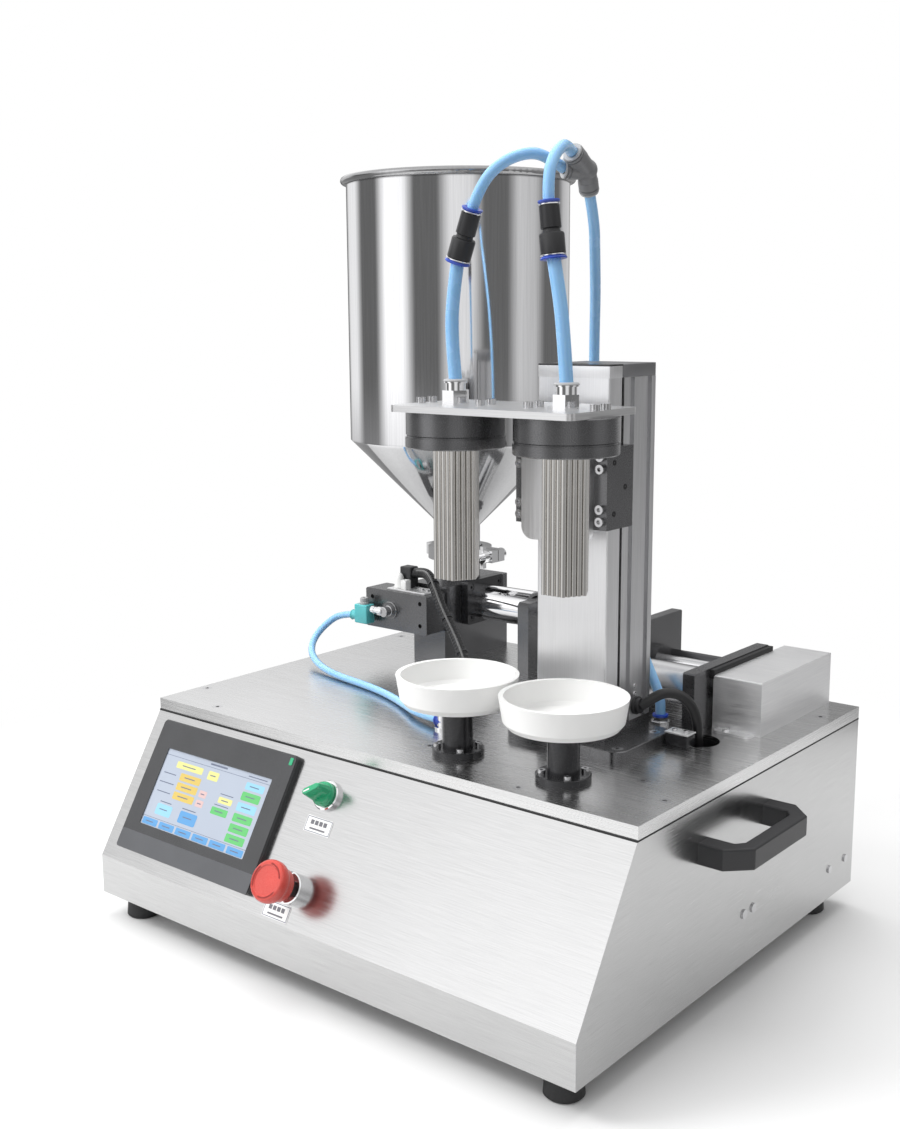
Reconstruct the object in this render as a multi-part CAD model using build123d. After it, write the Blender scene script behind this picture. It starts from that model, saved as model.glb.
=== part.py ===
"""Two-head piston liquid filler: desktop cabinet, hopper, piston pump, lift column and turntables.

Millimetres, +Z up. Built with x = 0 on the cabinet's centre line, y = 0 at the deck plate's front
edge and z = 0 on the table top, then moved so that the origin is under the middle of the machine.
"""
from build123d import *
import math
import os

os.makedirs("parts", exist_ok=True)

# ---------------------------------------------------------------- driving dimensions
cabinet_width = 600.0
deck_depth = 430.0
deck_thick = 12.0
nose_run = 85.0          # how far the sloping panel reaches in front of the deck
nose_height = 41.0
panel_rise = 139.0
foot_height = 25.0
sheet = 2.0
fit = 0.05               # radial running clearance
seat_gap = 0.3           # gap between pieces that must not touch
panel_gap = 0.5          # cut-out clearance round a panel insert

deck_under = foot_height + nose_height + panel_rise
deck_top = deck_under + deck_thick

foot_radius = 17.5
foot_inset_x = 30.0
foot_front_y = -57.0
foot_rear_y = 390.0

handle_span = 120.0
handle_y = 168.0
handle_drop = 55.0       # below the deck's top
handle_reach = 44.0
handle_bar = 20.0
handle_screw_r = 3.0

hmi_width, hmi_height, hmi_proud, hmi_depth = 202.0, 139.0, 6.0, 36.0
hmi_x, hmi_s = -178.0, 79.0
screen_width, screen_height, screen_thick = 158.0, 82.0, 2.0
screen_s = 78.5

selector_x, selector_s = -28.8, 37.3
estop_x, estop_s = -28.6, 128.4
button_bore_r = 11.15
button_barrel_r = 11.0
selector_collar_r, selector_collar_h = 14.5, 5.0
estop_collar_r, estop_collar_h = 15.0, 10.0
selector_stem_r, selector_knob_r = 8.0, 12.0
estop_stem_r, estop_cap_r, estop_height = 7.0, 20.0, 41.0
estop_travel = 6.0

table_x = (68.0, 188.0)
table_y = 56.0
table_flange_r, table_flange_h = 25.0, 6.0
table_hub_r, table_hub_h = 14.5, 40.0
table_shaft_r = 6.0
tray_r, tray_foot_r, tray_low, tray_high = 57.5, 55.0, 49.0, 76.0
tray_wall, tray_floor, tray_boss_r, tray_gap = 4.5, 5.0, 19.0, 1.0
motor_side, motor_height = 57.0, 56.0
shaft_depth = 20.0

head_plate_top, head_plate_thick = 325.0, 6.0
head_plate_x = (30.0, 226.0)
head_plate_front = 8.0
cap_r, cap_low = 45.0, 297.5
ring_r, ring_low = 45.5, 286.5
groove_depth, groove_height = 1.5, 1.6
nozzle_low = 167.5
needle_r, needle_bore_r, needle_pitch, needle_rings = 2.3, 1.9, 4.9, 4
needle_plate_r, needle_plate_thick = 28.0, 5.0
manifold_r, manifold_depth = 24.0, 8.0
fitting_hex, fitting_hex_h, fitting_top = 22.0, 12.0, 345.0
fitting_thread_r = 6.5
hose_bore_r = 3.5

column_x = 139.0
column_half = 39.0
profile_front, profile_rear = 161.0, 215.0
cover_front, cover_rear = 137.0, 157.0
column_top, column_cap_h = 358.5, 12.0
column_plate_h, column_block_h = 10.0, 12.0
column_plate_half, column_plate_front = 67.0, 120.0
profile_wall, groove_wide, groove_deep = 11.0, 7.0, 5.0
grooves_y = (175.0, 204.5)
lift_screw_r, lift_screw_y = 6.0, 180.0
carriage_half, carriage_low, carriage_high = 50.0, 213.0, 287.0
carriage_front = 118.0
bracket_half, bracket_low, bracket_thick = 36.5, 200.0, 10.0

hopper_x, pump_y = -175.0, 358.0
hopper_r, hopper_wall = 128.0, 1.5
hopper_rim_z, hopper_waist_z = 553.0, 260.0
rim_bead_r = 4.0
neck_r, ferrule_r, ferrule_thick, joint_z = 24.0, 32.0, 3.0, 124.0
clamp_r, clamp_half_h = 38.0, 7.0
clamp_bolt_r, clamp_bolt_reach = 3.5, 12.0   # the bolt stands this far outside the clamp's ring
clamp_ear_half, clamp_ear_wall = 12.0, 8.0
wing_nut_r, wing_nut_long, wing_half, wing_thick = 7.0, 10.0, 13.0, 4.0
support_x = (hopper_x - 23.0, hopper_x + 25.0)
support_past_valve = (2.0, 3.0)   # in front of the valve and behind it
support_high = 40.0
valve_x = (hopper_x - 29.0, hopper_x + 29.0)
valve_y = (pump_y - 57.0, pump_y + 57.0)
valve_high = 92.0
actuator_x = (hopper_x - 69.0, hopper_x + 25.0)
actuator_y = (valve_y[0] - 35.0, valve_y[0] - seat_gap)
actuator_z = (40.0, 86.0)
actuator_port_x, actuator_port_r, actuator_port_long = hopper_x - 30.0, 10.0, 4.0
rotor_r = 15.0
port_r = 11.0
flange_thick, flange_half, flange_z = 10.0, 34.0, (44.0, 96.0)
barrel_r, barrel_bore_r, barrel_z = 21.0, 16.0, 67.0
saddle_x = (-63.0, -48.0)
saddle_top = 81.0
rod_r = 8.0
piston_stroke, piston_long = 45.0, 24.0
port_clearance = 1.0      # between the piston and the flange plate at the end of the stroke
crosshead_x = (88.0, 100.0)
crosshead_y = (pump_y - 52.0, pump_y + 52.0)
crosshead_z = (6.0, 80.0)
guide_r, guide_dy, guide_z, guide_left = 8.0, 36.0, 30.0, 34.0
screw_r, screw_z = 7.0, 34.0
drive_plate_x = (200.0, 213.0)
drive_plate_y = (pump_y - 118.0, pump_y + 37.0)
drive_plate_high = 60.0
cover_x = (217.0, 269.0)
cover_y = (pump_y - 88.0, pump_y + 67.0)
cover_high = 54.0
cover_sheet = 1.5
pulley_x = (226.0, 240.0)
screw_pulley_r, motor_pulley_r, belt_thick = 15.0, 9.0, 1.6
drive_motor_y, drive_motor_r, drive_motor_left = pump_y - 74.0, 21.0, 122.0
cable_hole_x, cable_hole_y, cable_hole_r = 226.0, 226.0, 21.0
bundle_hole_x, bundle_hole_y, bundle_hole_r = -44.0, 214.0, 9.0

lower_hose_d, upper_hose_d, air_hose_d = 12.0, 10.0, 8.0
bundle_d, drive_cable_d = 12.0, 10.0


# ---------------------------------------------------------------- helpers
def block(x, y, z):
    """A box between pairs of coordinates."""
    size = [b - a for a, b in (x, y, z)]
    return Pos(*[(a + b) / 2 for a, b in (x, y, z)]) * Box(*size)


def bar_z(x, y, r, low, high):
    return Pos(x, y, (low + high) / 2) * Cylinder(r, high - low)


def bar_x(y, z, r, left, right):
    return Pos((left + right) / 2, y, z) * Rot(0, 90, 0) * Cylinder(r, right - left)


def bar_y(x, z, r, front, back):
    return Pos(x, (front + back) / 2, z) * Rot(90, 0, 0) * Cylinder(r, back - front)


def on_deck(pair):
    """Heights over the deck's top as heights over the table."""
    return tuple(deck_top + h for h in pair)


def turned(points, x, y):
    """A solid of revolution about a vertical axis, from (radius, height) points."""
    with BuildPart() as p:
        with BuildSketch(Plane.XZ):
            with BuildLine():
                Polyline(*points, close=True)
            make_face()
        revolve(axis=Axis.Z)
    return Pos(x, y, 0) * p.part


def hexagon_bar(across, low, high, x, y):
    face = RegularPolygon(across / 2, 6, major_radius=False)
    return Pos(x, y, low) * extrude(face, high - low)


def cap_screw(place, shank_r, head_r, head_h, length):
    """A socket-head screw: head above the place's plane, shank below it."""
    head = Pos(0, 0, head_h / 2) * Cylinder(head_r, head_h)
    shank = Pos(0, 0, -length / 2) * Cylinder(shank_r, length)
    socket = Pos(0, 0, head_h) * extrude(RegularPolygon(head_r * 0.5, 6), -head_h * 0.6)
    return place * (head + shank - socket)


def hose(name, points, diameter):
    """A tube along straight runs joined by arcs as large as the runs allow."""
    pts = [Vector(*p) for p in points]
    radii = []
    for a, b, c in zip(pts, pts[1:], pts[2:]):
        turn = math.radians((b - a).get_angle(c - b))
        shorter = min((b - a).length, (c - b).length)
        radii.append(0.45 * shorter / math.tan(turn / 2))
    path = FilletPolyline(*pts, radius=radii)
    section = Plane(pts[0], z_dir=pts[1] - pts[0]) * Circle(diameter / 2)
    tube = sweep(section, path=path)
    expected = math.pi * diameter ** 2 / 4 * path.length
    print(name, "length", round(path.length, 1), "radii", [round(r) for r in radii],
          "volume ratio", round(tube.volume / expected, 4))
    return tube


nodes = {}


def keep(name, *solids):
    """Files one node: a single solid, or a group of separate ones."""
    nodes[name] = list(solids)


# ---------------------------------------------------------------- cabinet
panel_normal = Vector(0, -panel_rise, nose_run).normalized()
panel = Plane(origin=(0, 0, deck_under), x_dir=(1, 0, 0), z_dir=panel_normal).location


def on_panel(x, s, h=0.0):
    """A place on the sloping panel: x across, s down the slope, h out of it."""
    return panel * Pos(x, -s, h)


def cabinet_shell():
    def profile(inset, top):
        """The side outline, moved inwards by the sheet, up to a given height."""
        slope = math.atan2(panel_rise, nose_run)
        front = -nose_run + inset
        lift = inset * math.tan((math.pi / 2 - slope) / 2)
        knee = foot_height + nose_height - lift
        run = (top - knee) * nose_run / panel_rise
        outline = [(front, foot_height + inset), (front, knee), (front + run, top),
                   (deck_depth - inset, top), (deck_depth - inset, foot_height + inset)]
        face = make_face(Plane.YZ * Polyline(*outline, close=True))
        return extrude(face, (cabinet_width - 2 * inset) / 2, both=True)

    shell = profile(0, deck_under) - profile(sheet, deck_under + sheet)
    cut = 4 * sheet
    opening = Box(hmi_width - 10 + 2 * panel_gap, hmi_height - 10 + 2 * panel_gap, cut)
    shell -= on_panel(hmi_x, hmi_s) * opening
    shell -= on_panel(selector_x, selector_s) * Cylinder(button_bore_r, cut)
    shell -= on_panel(estop_x, estop_s) * Cylinder(button_bore_r, cut)
    for side in (-1, 1):
        for end in (-1, 1):
            y = handle_y + end * handle_span / 2
            x = side * cabinet_width / 2
            shell -= bar_x(y, deck_top - handle_drop, handle_screw_r + seat_gap, x - cut, x + cut)
        for y, z, r in side_studs:
            x = side * cabinet_width / 2
            shell -= bar_x(y, z, r, x - cut, x + cut)
    shell -= block((inlet_x - inlet_w / 2, inlet_x + inlet_w / 2), (deck_depth - cut, deck_depth + cut),
                   (inlet_z - inlet_h / 2, inlet_z + inlet_h / 2))
    return shell


side_studs = [(187.0, deck_top - 142, 3.0), (205.0, deck_top - 142, 3.0),
              (373.0, deck_top - 160, 2.5), (411.0, deck_top - 160, 2.5)]
inlet_x, inlet_z, inlet_w, inlet_h = 200.0, 90.0, 28.0, 48.0

deck_screws_at = [(-290, 57), (-225.5, 16), (34.4, 54.6), (170, 14), (245, 96), (286, 64.6), (284, 372),
                  (-284, 372)]
deck_screw_r, deck_screw_head = 3.0, 5.5
flange_screw_pcd, flange_screw_r = 19.5, 2.0
column_screws_at = [(s * 56.5, y) for s in (-1, 1) for y in (132.0, 197.0)]
column_screw_r = 3.0


def countersunk(x, y, top, length):
    """A flat-headed screw with a hex socket, its head level with the top."""
    depth = deck_screw_head - deck_screw_r
    profile = [(0, top), (deck_screw_head, top), (deck_screw_r, top - depth),
               (deck_screw_r, top - length), (0, top - length)]
    socket = Pos(x, y, top) * extrude(RegularPolygon(2.2, 6), -1.8)
    return turned(profile, x, y) - socket


def countersink(x, y, top, through):
    depth = deck_screw_head - deck_screw_r
    profile = [(0, top + 1), (deck_screw_head + fit + 1, top + 1), (deck_screw_r + fit, top - depth),
               (deck_screw_r + fit, top - through), (0, top - through)]
    return turned(profile, x, y)


def deck_plate():
    half = cabinet_width / 2
    plate = block((-half, half), (0, deck_depth), (deck_under, deck_top))
    for x, y in deck_screws_at:
        plate -= countersink(x, y, deck_top, deck_thick + 1)
    for x in table_x:
        plate -= bar_z(x, table_y, table_shaft_r + 2, deck_under - 1, deck_top + 1)
    plate -= bar_z(column_x, lift_screw_y, lift_screw_r + 2, deck_under - 1, deck_top + 1)
    plate -= bar_z(cable_hole_x, cable_hole_y, cable_hole_r, deck_under - 1, deck_top + 1)
    plate -= bar_z(bundle_hole_x, bundle_hole_y, bundle_hole_r, deck_under - 1, deck_top + 1)
    for x, y in flange_screws():
        plate -= bar_z(x, y, flange_screw_r + fit, deck_top - 8, deck_top + 1)
    for dx, y in column_screws_at:
        plate -= bar_z(column_x + dx, y, column_screw_r + fit, deck_top - 8, deck_top + 1)
    return plate


def flange_screws():
    spots = []
    for x in table_x:
        for turn in range(4):
            a = math.radians(45 + 90 * turn)
            spots.append((x + flange_screw_pcd * math.cos(a), table_y + flange_screw_pcd * math.sin(a)))
    return spots


def cabinet_screws():
    """Deck, turntable and column screws, and the studs and handle screws in the sides."""
    group = [countersunk(x, y, deck_top, deck_thick + 3) for x, y in deck_screws_at]
    for x, y in flange_screws():
        group.append(cap_screw(Pos(x, y, deck_top + table_flange_h), flange_screw_r, 3.5, 3.5, 13.5))
    top = deck_top + column_plate_h
    for dx, y in column_screws_at:
        group.append(countersunk(column_x + dx, y, top, column_plate_h + 7))
    for side in (-1, 1):
        x = side * cabinet_width / 2
        for y, z, r in side_studs:
            inner, outer = sorted((x - side * (sheet + 4), x + side * 1.5))
            group.append(bar_x(y, z, r - fit, inner, outer) + dome_head(x, y, z, r, side))
        for end in (-1, 1):
            y = handle_y + end * handle_span / 2
            z = deck_top - handle_drop
            inner, outer = sorted((x - side * (sheet + 1), x + side * 12))
            screw = bar_x(y, z, handle_screw_r - fit, inner, outer)
            inner, outer = sorted((x - side * (sheet + 4), x - side * sheet))
            group.append(screw + bar_x(y, z, 6, inner, outer))
    return group


def dome_head(x, y, z, r, side):
    a, b = sorted((x, x + side * 1.5))
    return bar_x(y, z, r + 1.5, a, b)


def handle(side):
    """A bridge handle with chamfered corners, standing out from the side."""
    x = cabinet_width / 2
    half = handle_span / 2 + handle_bar / 2
    corner = handle_bar
    outer = [(x, -half), (x, half), (x + handle_reach - corner, half), (x + handle_reach, half - corner),
             (x + handle_reach, corner - half), (x + handle_reach - corner, -half)]
    leg = handle_bar
    bar = 14.0
    inner = [(x - 1, leg - half), (x - 1, half - leg), (x + handle_reach - corner, half - leg),
             (x + handle_reach - bar, half - leg - 8), (x + handle_reach - bar, leg + 8 - half),
             (x + handle_reach - corner, leg - half)]
    z = deck_top - handle_drop
    face = make_face(Polyline(*outer, close=True)) - make_face(Polyline(*inner, close=True))
    grip = Pos(0, handle_y, z - handle_bar / 2) * extrude(face, handle_bar)
    grip = fillet(grip.edges().filter_by(GeomType.LINE).filter_by(lambda e: e.center().X > x + 1), 2.0)
    for end in (-1, 1):
        grip -= bar_x(handle_y + end * handle_span / 2, z, handle_screw_r, x - 1, x + 13)
    return grip if side > 0 else mirror(grip, Plane.YZ)


def rubber_foot(x, y):
    """A moulded foot under the cabinet's floor."""
    return turned([(0, 0), (foot_radius - 1.5, 0), (foot_radius, 1.5), (foot_radius - 2, foot_height),
                   (0, foot_height)], x, y)


def power_inlet():
    face = deck_depth + 3
    flange = block((inlet_x - inlet_w / 2 - 4, inlet_x + inlet_w / 2 + 4), (deck_depth, face),
                   (inlet_z - inlet_h / 2 - 2, inlet_z + inlet_h / 2 + 2))
    case = block((inlet_x - inlet_w / 2 + fit, inlet_x + inlet_w / 2 - fit), (deck_depth - 24, deck_depth),
                 (inlet_z - inlet_h / 2 + fit, inlet_z + inlet_h / 2 - fit))
    well = block((inlet_x - 11.5, inlet_x + 11.5), (deck_depth - 14, face + 1), (inlet_z - 20, inlet_z - 4))
    fuse = block((inlet_x - 11.5, inlet_x + 11.5), (face - 1.2, face + 1), (inlet_z + 4, inlet_z + 20))
    inlet = flange + case - well - fuse
    for dx, dz in ((-7, -13), (0, -10), (7, -13)):
        pin = block((inlet_x + dx - 2, inlet_x + dx + 2), (deck_depth - 15, deck_depth - 1),
                    (inlet_z + dz - 1, inlet_z + dz + 1))
        inlet += pin
    return inlet


keep("cabinet_shell", cabinet_shell())
keep("deck_plate", deck_plate())
keep("cabinet_screws", *cabinet_screws())
keep("handles", handle(-1), handle(1))
feet_at = [(s * (cabinet_width / 2 - foot_inset_x), y) for s in (-1, 1) for y in (foot_front_y, foot_rear_y)]
keep("rubber_feet", *[rubber_foot(x, y) for x, y in feet_at])
keep("power_inlet", power_inlet())


# ---------------------------------------------------------------- control panel
def hmi_bezel():
    front = Pos(0, 0, hmi_proud / 2) * Box(hmi_width, hmi_height, hmi_proud)
    front = fillet(front.edges().filter_by(Axis.Z), 4.0)
    front = chamfer(front.faces().sort_by(Axis.Z)[-1].edges(), 1.2)
    case = Pos(0, 0, -hmi_depth / 2) * Box(hmi_width - 10, hmi_height - 10, hmi_depth)
    pocket_z = hmi_proud - screen_thick / 2
    pocket = Box(screen_width + 2 * seat_gap, screen_height + 2 * seat_gap, screen_thick)
    return on_panel(hmi_x, hmi_s) * (front + case - Pos(0, hmi_s - screen_s, pocket_z) * pocket)


def hmi_screen():
    glass = Box(screen_width, screen_height, screen_thick)
    return on_panel(hmi_x, screen_s, hmi_proud - screen_thick / 2) * glass


def button_base(x, s, collar_r, collar_h, bore_r, bore_low):
    """Collar outside, threaded barrel through the panel and contact block inside."""
    collar = Pos(0, 0, collar_h / 2) * Cylinder(collar_r, collar_h)
    collar = chamfer(collar.faces().sort_by(Axis.Z)[-1].edges(), 1.0)
    barrel = Pos(0, 0, -6) * Cylinder(button_barrel_r, 12)
    contacts = Pos(0, 0, -32) * Box(28, 40, 40)
    top = collar_h + 1
    bore = Pos(0, 0, (top + bore_low) / 2) * Cylinder(bore_r, top - bore_low)
    return on_panel(x, s) * (collar + barrel + contacts - bore)


def selector_knob():
    low = -7.5
    stem_top = selector_collar_h + 1.0
    stem = Pos(0, 0, (low + stem_top) / 2) * Cylinder(selector_stem_r, stem_top - low)
    dial = Pos(0, 0, stem_top + 3) * Cylinder(selector_knob_r, 6)
    dial = chamfer(dial.faces().sort_by(Axis.Z)[-1].edges(), 0.8)
    grip = Rot(0, 0, 35) * Box(2 * selector_knob_r - 1.5, 8.5, 16)
    grip = fillet(grip.edges().filter_by(Axis.Z), 2.5)
    return on_panel(selector_x, selector_s) * (stem + dial + Pos(0, 0, stem_top + 6 + 8) * grip)


def estop_plunger():
    low, high = -7.5, estop_height - 9
    stem = Pos(0, 0, (low + high) / 2) * Cylinder(estop_stem_r, high - low)
    return on_panel(estop_x, estop_s) * stem


def estop_cap():
    """A mushroom head whose hub turns on the plunger."""
    h = estop_height
    points = [(0, h), (estop_cap_r - 6, h), (estop_cap_r - 1.5, h - 2), (estop_cap_r, h - 6),
              (estop_cap_r - 1, h - 15), (estop_cap_r - 4.5, h - 22), (estop_stem_r + fit, h - 22),
              (estop_stem_r + fit, h - 8.9), (0, h - 8.9)]
    return on_panel(estop_x, estop_s) * turned(points, 0, 0)


keep("hmi_bezel", hmi_bezel())
keep("hmi_screen", hmi_screen())
keep("button_bases",
     button_base(selector_x, selector_s, selector_collar_r, selector_collar_h, selector_stem_r + fit, -8),
     button_base(estop_x, estop_s, estop_collar_r, estop_collar_h, estop_stem_r + fit, -8 - estop_travel))
keep("selector_knob", selector_knob())
keep("estop_plunger", estop_plunger())
keep("estop_cap", estop_cap())


supply_box = ((-240, -130), (240, 400), 45)
controller_box = ((-90, 20), (290, 390), 60)
driver_lefts, driver_thick, driver_y, driver_high = (60, 105, 150, 195), 28, (270, 380), 75


def control_modules():
    """Power supply, controller and motor drivers on the cabinet's floor."""
    floor = foot_height + sheet
    boxes = [supply_box, controller_box]
    boxes += [((x, x + driver_thick), driver_y, driver_high) for x in driver_lefts]
    return [block(x, y, (floor, floor + high)) for x, y, high in boxes]


keep("control_modules", *control_modules())


# ---------------------------------------------------------------- turntables
def table_flange(x):
    low = deck_top
    foot = bar_z(x, table_y, table_flange_r, low, low + table_flange_h)
    foot = chamfer(foot.faces().sort_by(Axis.Z)[-1].edges(), 0.8)
    hub = bar_z(x, table_y, table_hub_r, low, low + table_hub_h)
    hub = chamfer(hub.faces().sort_by(Axis.Z)[-1].edges(), 0.8)
    part = foot + hub - bar_z(x, table_y, table_shaft_r + fit, low - 1, low + table_hub_h + 1)
    for sx, sy in flange_screws():
        if abs(sx - x) < table_flange_r:
            part -= bar_z(sx, sy, flange_screw_r + fit, low - 1, low + table_flange_h + 1)
    return part


def table_shaft(x):
    return bar_z(x, table_y, table_shaft_r, deck_under - shaft_depth + 1, deck_top + tray_low + 1)


def tray(x):
    """A white dish with a boss that sits on the shaft."""
    low, high = on_deck((tray_low, tray_high))
    boss_low = deck_top + table_hub_h + tray_gap
    bend = 5.0
    r = table_shaft_r
    points = [(0, low + 1), (r, low + 1), (r, boss_low), (tray_boss_r, boss_low), (tray_boss_r, low),
              (tray_foot_r - bend, low), (tray_foot_r - 1, low + bend), (tray_r, high),
              (tray_r - tray_wall, high), (tray_foot_r - tray_wall - 1, low + bend + 3),
              (tray_foot_r - tray_wall - bend, low + tray_floor), (0, low + tray_floor)]
    return turned(points, x, table_y)


def deck_motor(x, y, shaft_r):
    body = block((x - motor_side / 2, x + motor_side / 2), (y - motor_side / 2, y + motor_side / 2),
                 (deck_under - motor_height, deck_under))
    body = chamfer(body.edges().filter_by(Axis.Z), 4.0)
    return body - bar_z(x, y, shaft_r + fit, deck_under - shaft_depth, deck_under + 1)


keep("table_flanges", *[table_flange(x) for x in table_x])
for side, x in zip(("left", "right"), table_x):
    keep(f"table_shaft_{side}", table_shaft(x))
    keep(f"tray_{side}", tray(x))


# ---------------------------------------------------------------- filling heads
plate_low, plate_high = on_deck((head_plate_top - head_plate_thick, head_plate_top))
head_screw_r = 2.5
head_screws_at = [(x + dx, table_y + dy) for x in table_x for dx in (-34, 34) for dy in (-8, 8)]


def head_plate():
    plate = block(head_plate_x, (head_plate_front, carriage_front - bracket_thick), (plate_low, plate_high))
    plate = fillet(plate.edges().filter_by(Axis.Z), 6.0)
    for x in table_x:
        plate -= bar_z(x, table_y, fitting_thread_r + fit, plate_low - 1, plate_high + 1)
    for x, y in head_screws_at:
        plate -= bar_z(x, y, head_screw_r + fit, plate_low - 1, plate_high + 1)
    return plate


def nozzle_cap(x):
    """Upper disc: the manifold that spreads the product over the needles."""
    low = deck_top + cap_low
    cap = bar_z(x, table_y, cap_r, low, plate_low)
    cap = chamfer(cap.edges().filter_by(GeomType.CIRCLE), 0.8)
    cap -= bar_z(x, table_y, manifold_r, low - 1, low + manifold_depth)
    cap -= bar_z(x, table_y, fitting_thread_r + fit, low, plate_low + 1)
    for sx, sy in head_screws_at:
        if abs(sx - x) < cap_r:
            cap -= bar_z(sx, sy, head_screw_r + fit, plate_low - 10, plate_low + 1)
    return cap


def nozzle_ring(x):
    """Lower disc: clamps the needle plate under the manifold."""
    low, high = on_deck((ring_low, cap_low))
    bundle = needle_rings * needle_pitch + needle_r + 0.6
    seat = needle_plate_r + seat_gap
    groove = ring_r - groove_depth
    points = [(bundle, low), (ring_r - 1, low), (ring_r, low + 1), (ring_r, high - groove_height),
              (groove, high - groove_height), (groove, high), (seat, high),
              (seat, high - needle_plate_thick), (bundle, high - needle_plate_thick)]
    return turned(points, x, table_y)


def needle_spots():
    """Centres of a hexagonal pack, ring by ring."""
    spots = []
    n = needle_rings
    for i in range(-n, n + 1):
        for j in range(-n, n + 1):
            if abs(i + j) <= n:
                spots.append(((i + j / 2) * needle_pitch, j * needle_pitch * math.sqrt(3) / 2))
    return spots


def nozzle_needles():
    """A bundle of filling needles held in one plate, on the z axis."""
    top = deck_top + cap_low
    low = deck_top + nozzle_low
    spots = Locations(*needle_spots())
    with BuildPart() as p:
        with BuildSketch(Plane.XY.offset(top - needle_plate_thick)):
            Circle(needle_plate_r)
            with spots:
                Circle(needle_bore_r, mode=Mode.SUBTRACT)
        extrude(amount=needle_plate_thick)
        with BuildSketch(Plane.XY.offset(low)):
            with spots:
                Circle(needle_r)
            with spots:
                Circle(needle_bore_r, mode=Mode.SUBTRACT)
        extrude(amount=top - needle_plate_thick - low)
    return p.part


def head_fitting(x):
    """Hexagon push-in fitting screwed through the head plate into the manifold."""
    hex_top = plate_high + fitting_hex_h
    body = hexagon_bar(fitting_hex, plate_high, hex_top, x, table_y)
    body += bar_z(x, table_y, 9.0, hex_top, deck_top + fitting_top - 1.5)
    body += bar_z(x, table_y, 10.5, deck_top + fitting_top - 1.5, deck_top + fitting_top)
    body += bar_z(x, table_y, fitting_thread_r, deck_top + cap_low + manifold_depth, plate_high)
    return body - bar_z(x, table_y, hose_bore_r, deck_top + cap_low, deck_top + fitting_top + 1)


keep("head_plate", head_plate())
needles = nozzle_needles()
keep("nozzle_caps", *[nozzle_cap(x) for x in table_x])
keep("nozzle_rings", *[nozzle_ring(x) for x in table_x])
keep("nozzle_needles", *[Pos(x, table_y, 0) * needles for x in table_x])
keep("head_fittings", *[head_fitting(x) for x in table_x])


# ---------------------------------------------------------------- lift column
def column_plate():
    low, high = on_deck((0, column_plate_h))
    block_high = high + column_block_h
    half = column_plate_half
    plate = block((column_x - half, column_x + half), (column_plate_front, profile_rear), (low, high))
    plate = fillet(plate.edges().filter_by(Axis.Z), 12.0)
    plate = chamfer(plate.faces().sort_by(Axis.Z)[-1].edges(), 0.8)
    plate += block((column_x - column_half, column_x + column_half), (cover_front, profile_rear),
                   (high, block_high))
    plate -= bar_z(column_x, lift_screw_y, lift_screw_r + 2, low - 1, block_high + 1)
    for dx, y in column_screws_at:
        plate -= countersink(column_x + dx, y, high, column_plate_h + 1)
    return plate


def column_profile():
    """Extruded aluminium channel, open to the front, with two grooves in each side."""
    low, high = on_deck((column_plate_h + column_block_h, column_top - column_cap_h))
    body = block((column_x - column_half, column_x + column_half), (profile_front, profile_rear), (low, high))
    inner = column_half - profile_wall
    body -= block((column_x - inner, column_x + inner), (profile_front - 1, profile_rear - profile_wall),
                  (low - 1, high + 1))
    for y in grooves_y:
        for side in (-1, 1):
            edge = column_x + side * column_half
            a, b = sorted((edge - side * groove_deep, edge + side))
            body -= block((a, b), (y - groove_wide / 2, y + groove_wide / 2), (low - 1, high + 1))
    return body


def column_cover():
    """Front cover: a shallow channel fixed at the base block and the end cap."""
    low, high = on_deck((column_plate_h + column_block_h, column_top - column_cap_h))
    cover = block((column_x - column_half, column_x + column_half), (cover_front, cover_rear), (low, high))
    cover = fillet(cover.edges().filter_by(Axis.Z).group_by(Axis.Y)[0], 1.5)
    wall = 2.0
    return cover - block((column_x - column_half + wall, column_x + column_half - wall),
                         (cover_front + wall, cover_rear + 1), (low - 1, high + 1))


def column_cap():
    low, high = on_deck((column_top - column_cap_h, column_top))
    cap = block((column_x - column_half, column_x + column_half), (cover_front, profile_rear), (low, high))
    cap = fillet(cap.edges().filter_by(Axis.Z), 1.5)
    return cap - bar_z(column_x, lift_screw_y, lift_screw_r + fit, low - 1, low + 6)


def lift_screw():
    return bar_z(column_x, lift_screw_y, lift_screw_r, deck_under - shaft_depth + 1,
                 deck_top + column_top - column_cap_h + 5)


def carriage():
    """Slides behind and round the cover, and carries the nut of the lift screw."""
    z = on_deck((carriage_low, carriage_high))
    gap = seat_gap
    across = (column_x - carriage_half, column_x + carriage_half)
    web = block(across, (cover_rear + gap, profile_front - gap), z)
    inner = column_half - profile_wall - 2 * gap
    nut = block((column_x - inner, column_x + inner),
                (profile_front - gap, profile_rear - profile_wall - 2 * gap), z)
    front = block(across, (carriage_front, carriage_front + 14), z)
    body = web + nut + front
    for side in (-1, 1):
        a, b = sorted((column_x + side * carriage_half, column_x + side * (carriage_half - 8)))
        body += block((a, b), (carriage_front, profile_front - gap), z)
    body -= bar_z(column_x, lift_screw_y, lift_screw_r + fit, z[0] - 1, z[1] + 1)
    for x, h in carriage_screws_at:
        body -= bar_y(column_x + x, deck_top + h, head_screw_r + fit, carriage_front - 1, carriage_front + 10)
    return body


carriage_screws_at = [(s * 44.0, h) for s in (-1, 1) for h in (221.0, 232.0, 268.0, 279.0)]


def carriage_bracket():
    """Vertical plate with a rounded foot that carries the head plate."""
    low, high = on_deck((bracket_low, head_plate_top))
    leg = block((column_x - bracket_half, column_x + bracket_half),
                (carriage_front - bracket_thick, carriage_front), (low, high))
    return fillet(leg.edges().filter_by(Axis.Y).group_by(Axis.Z)[0], 12.0)


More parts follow.
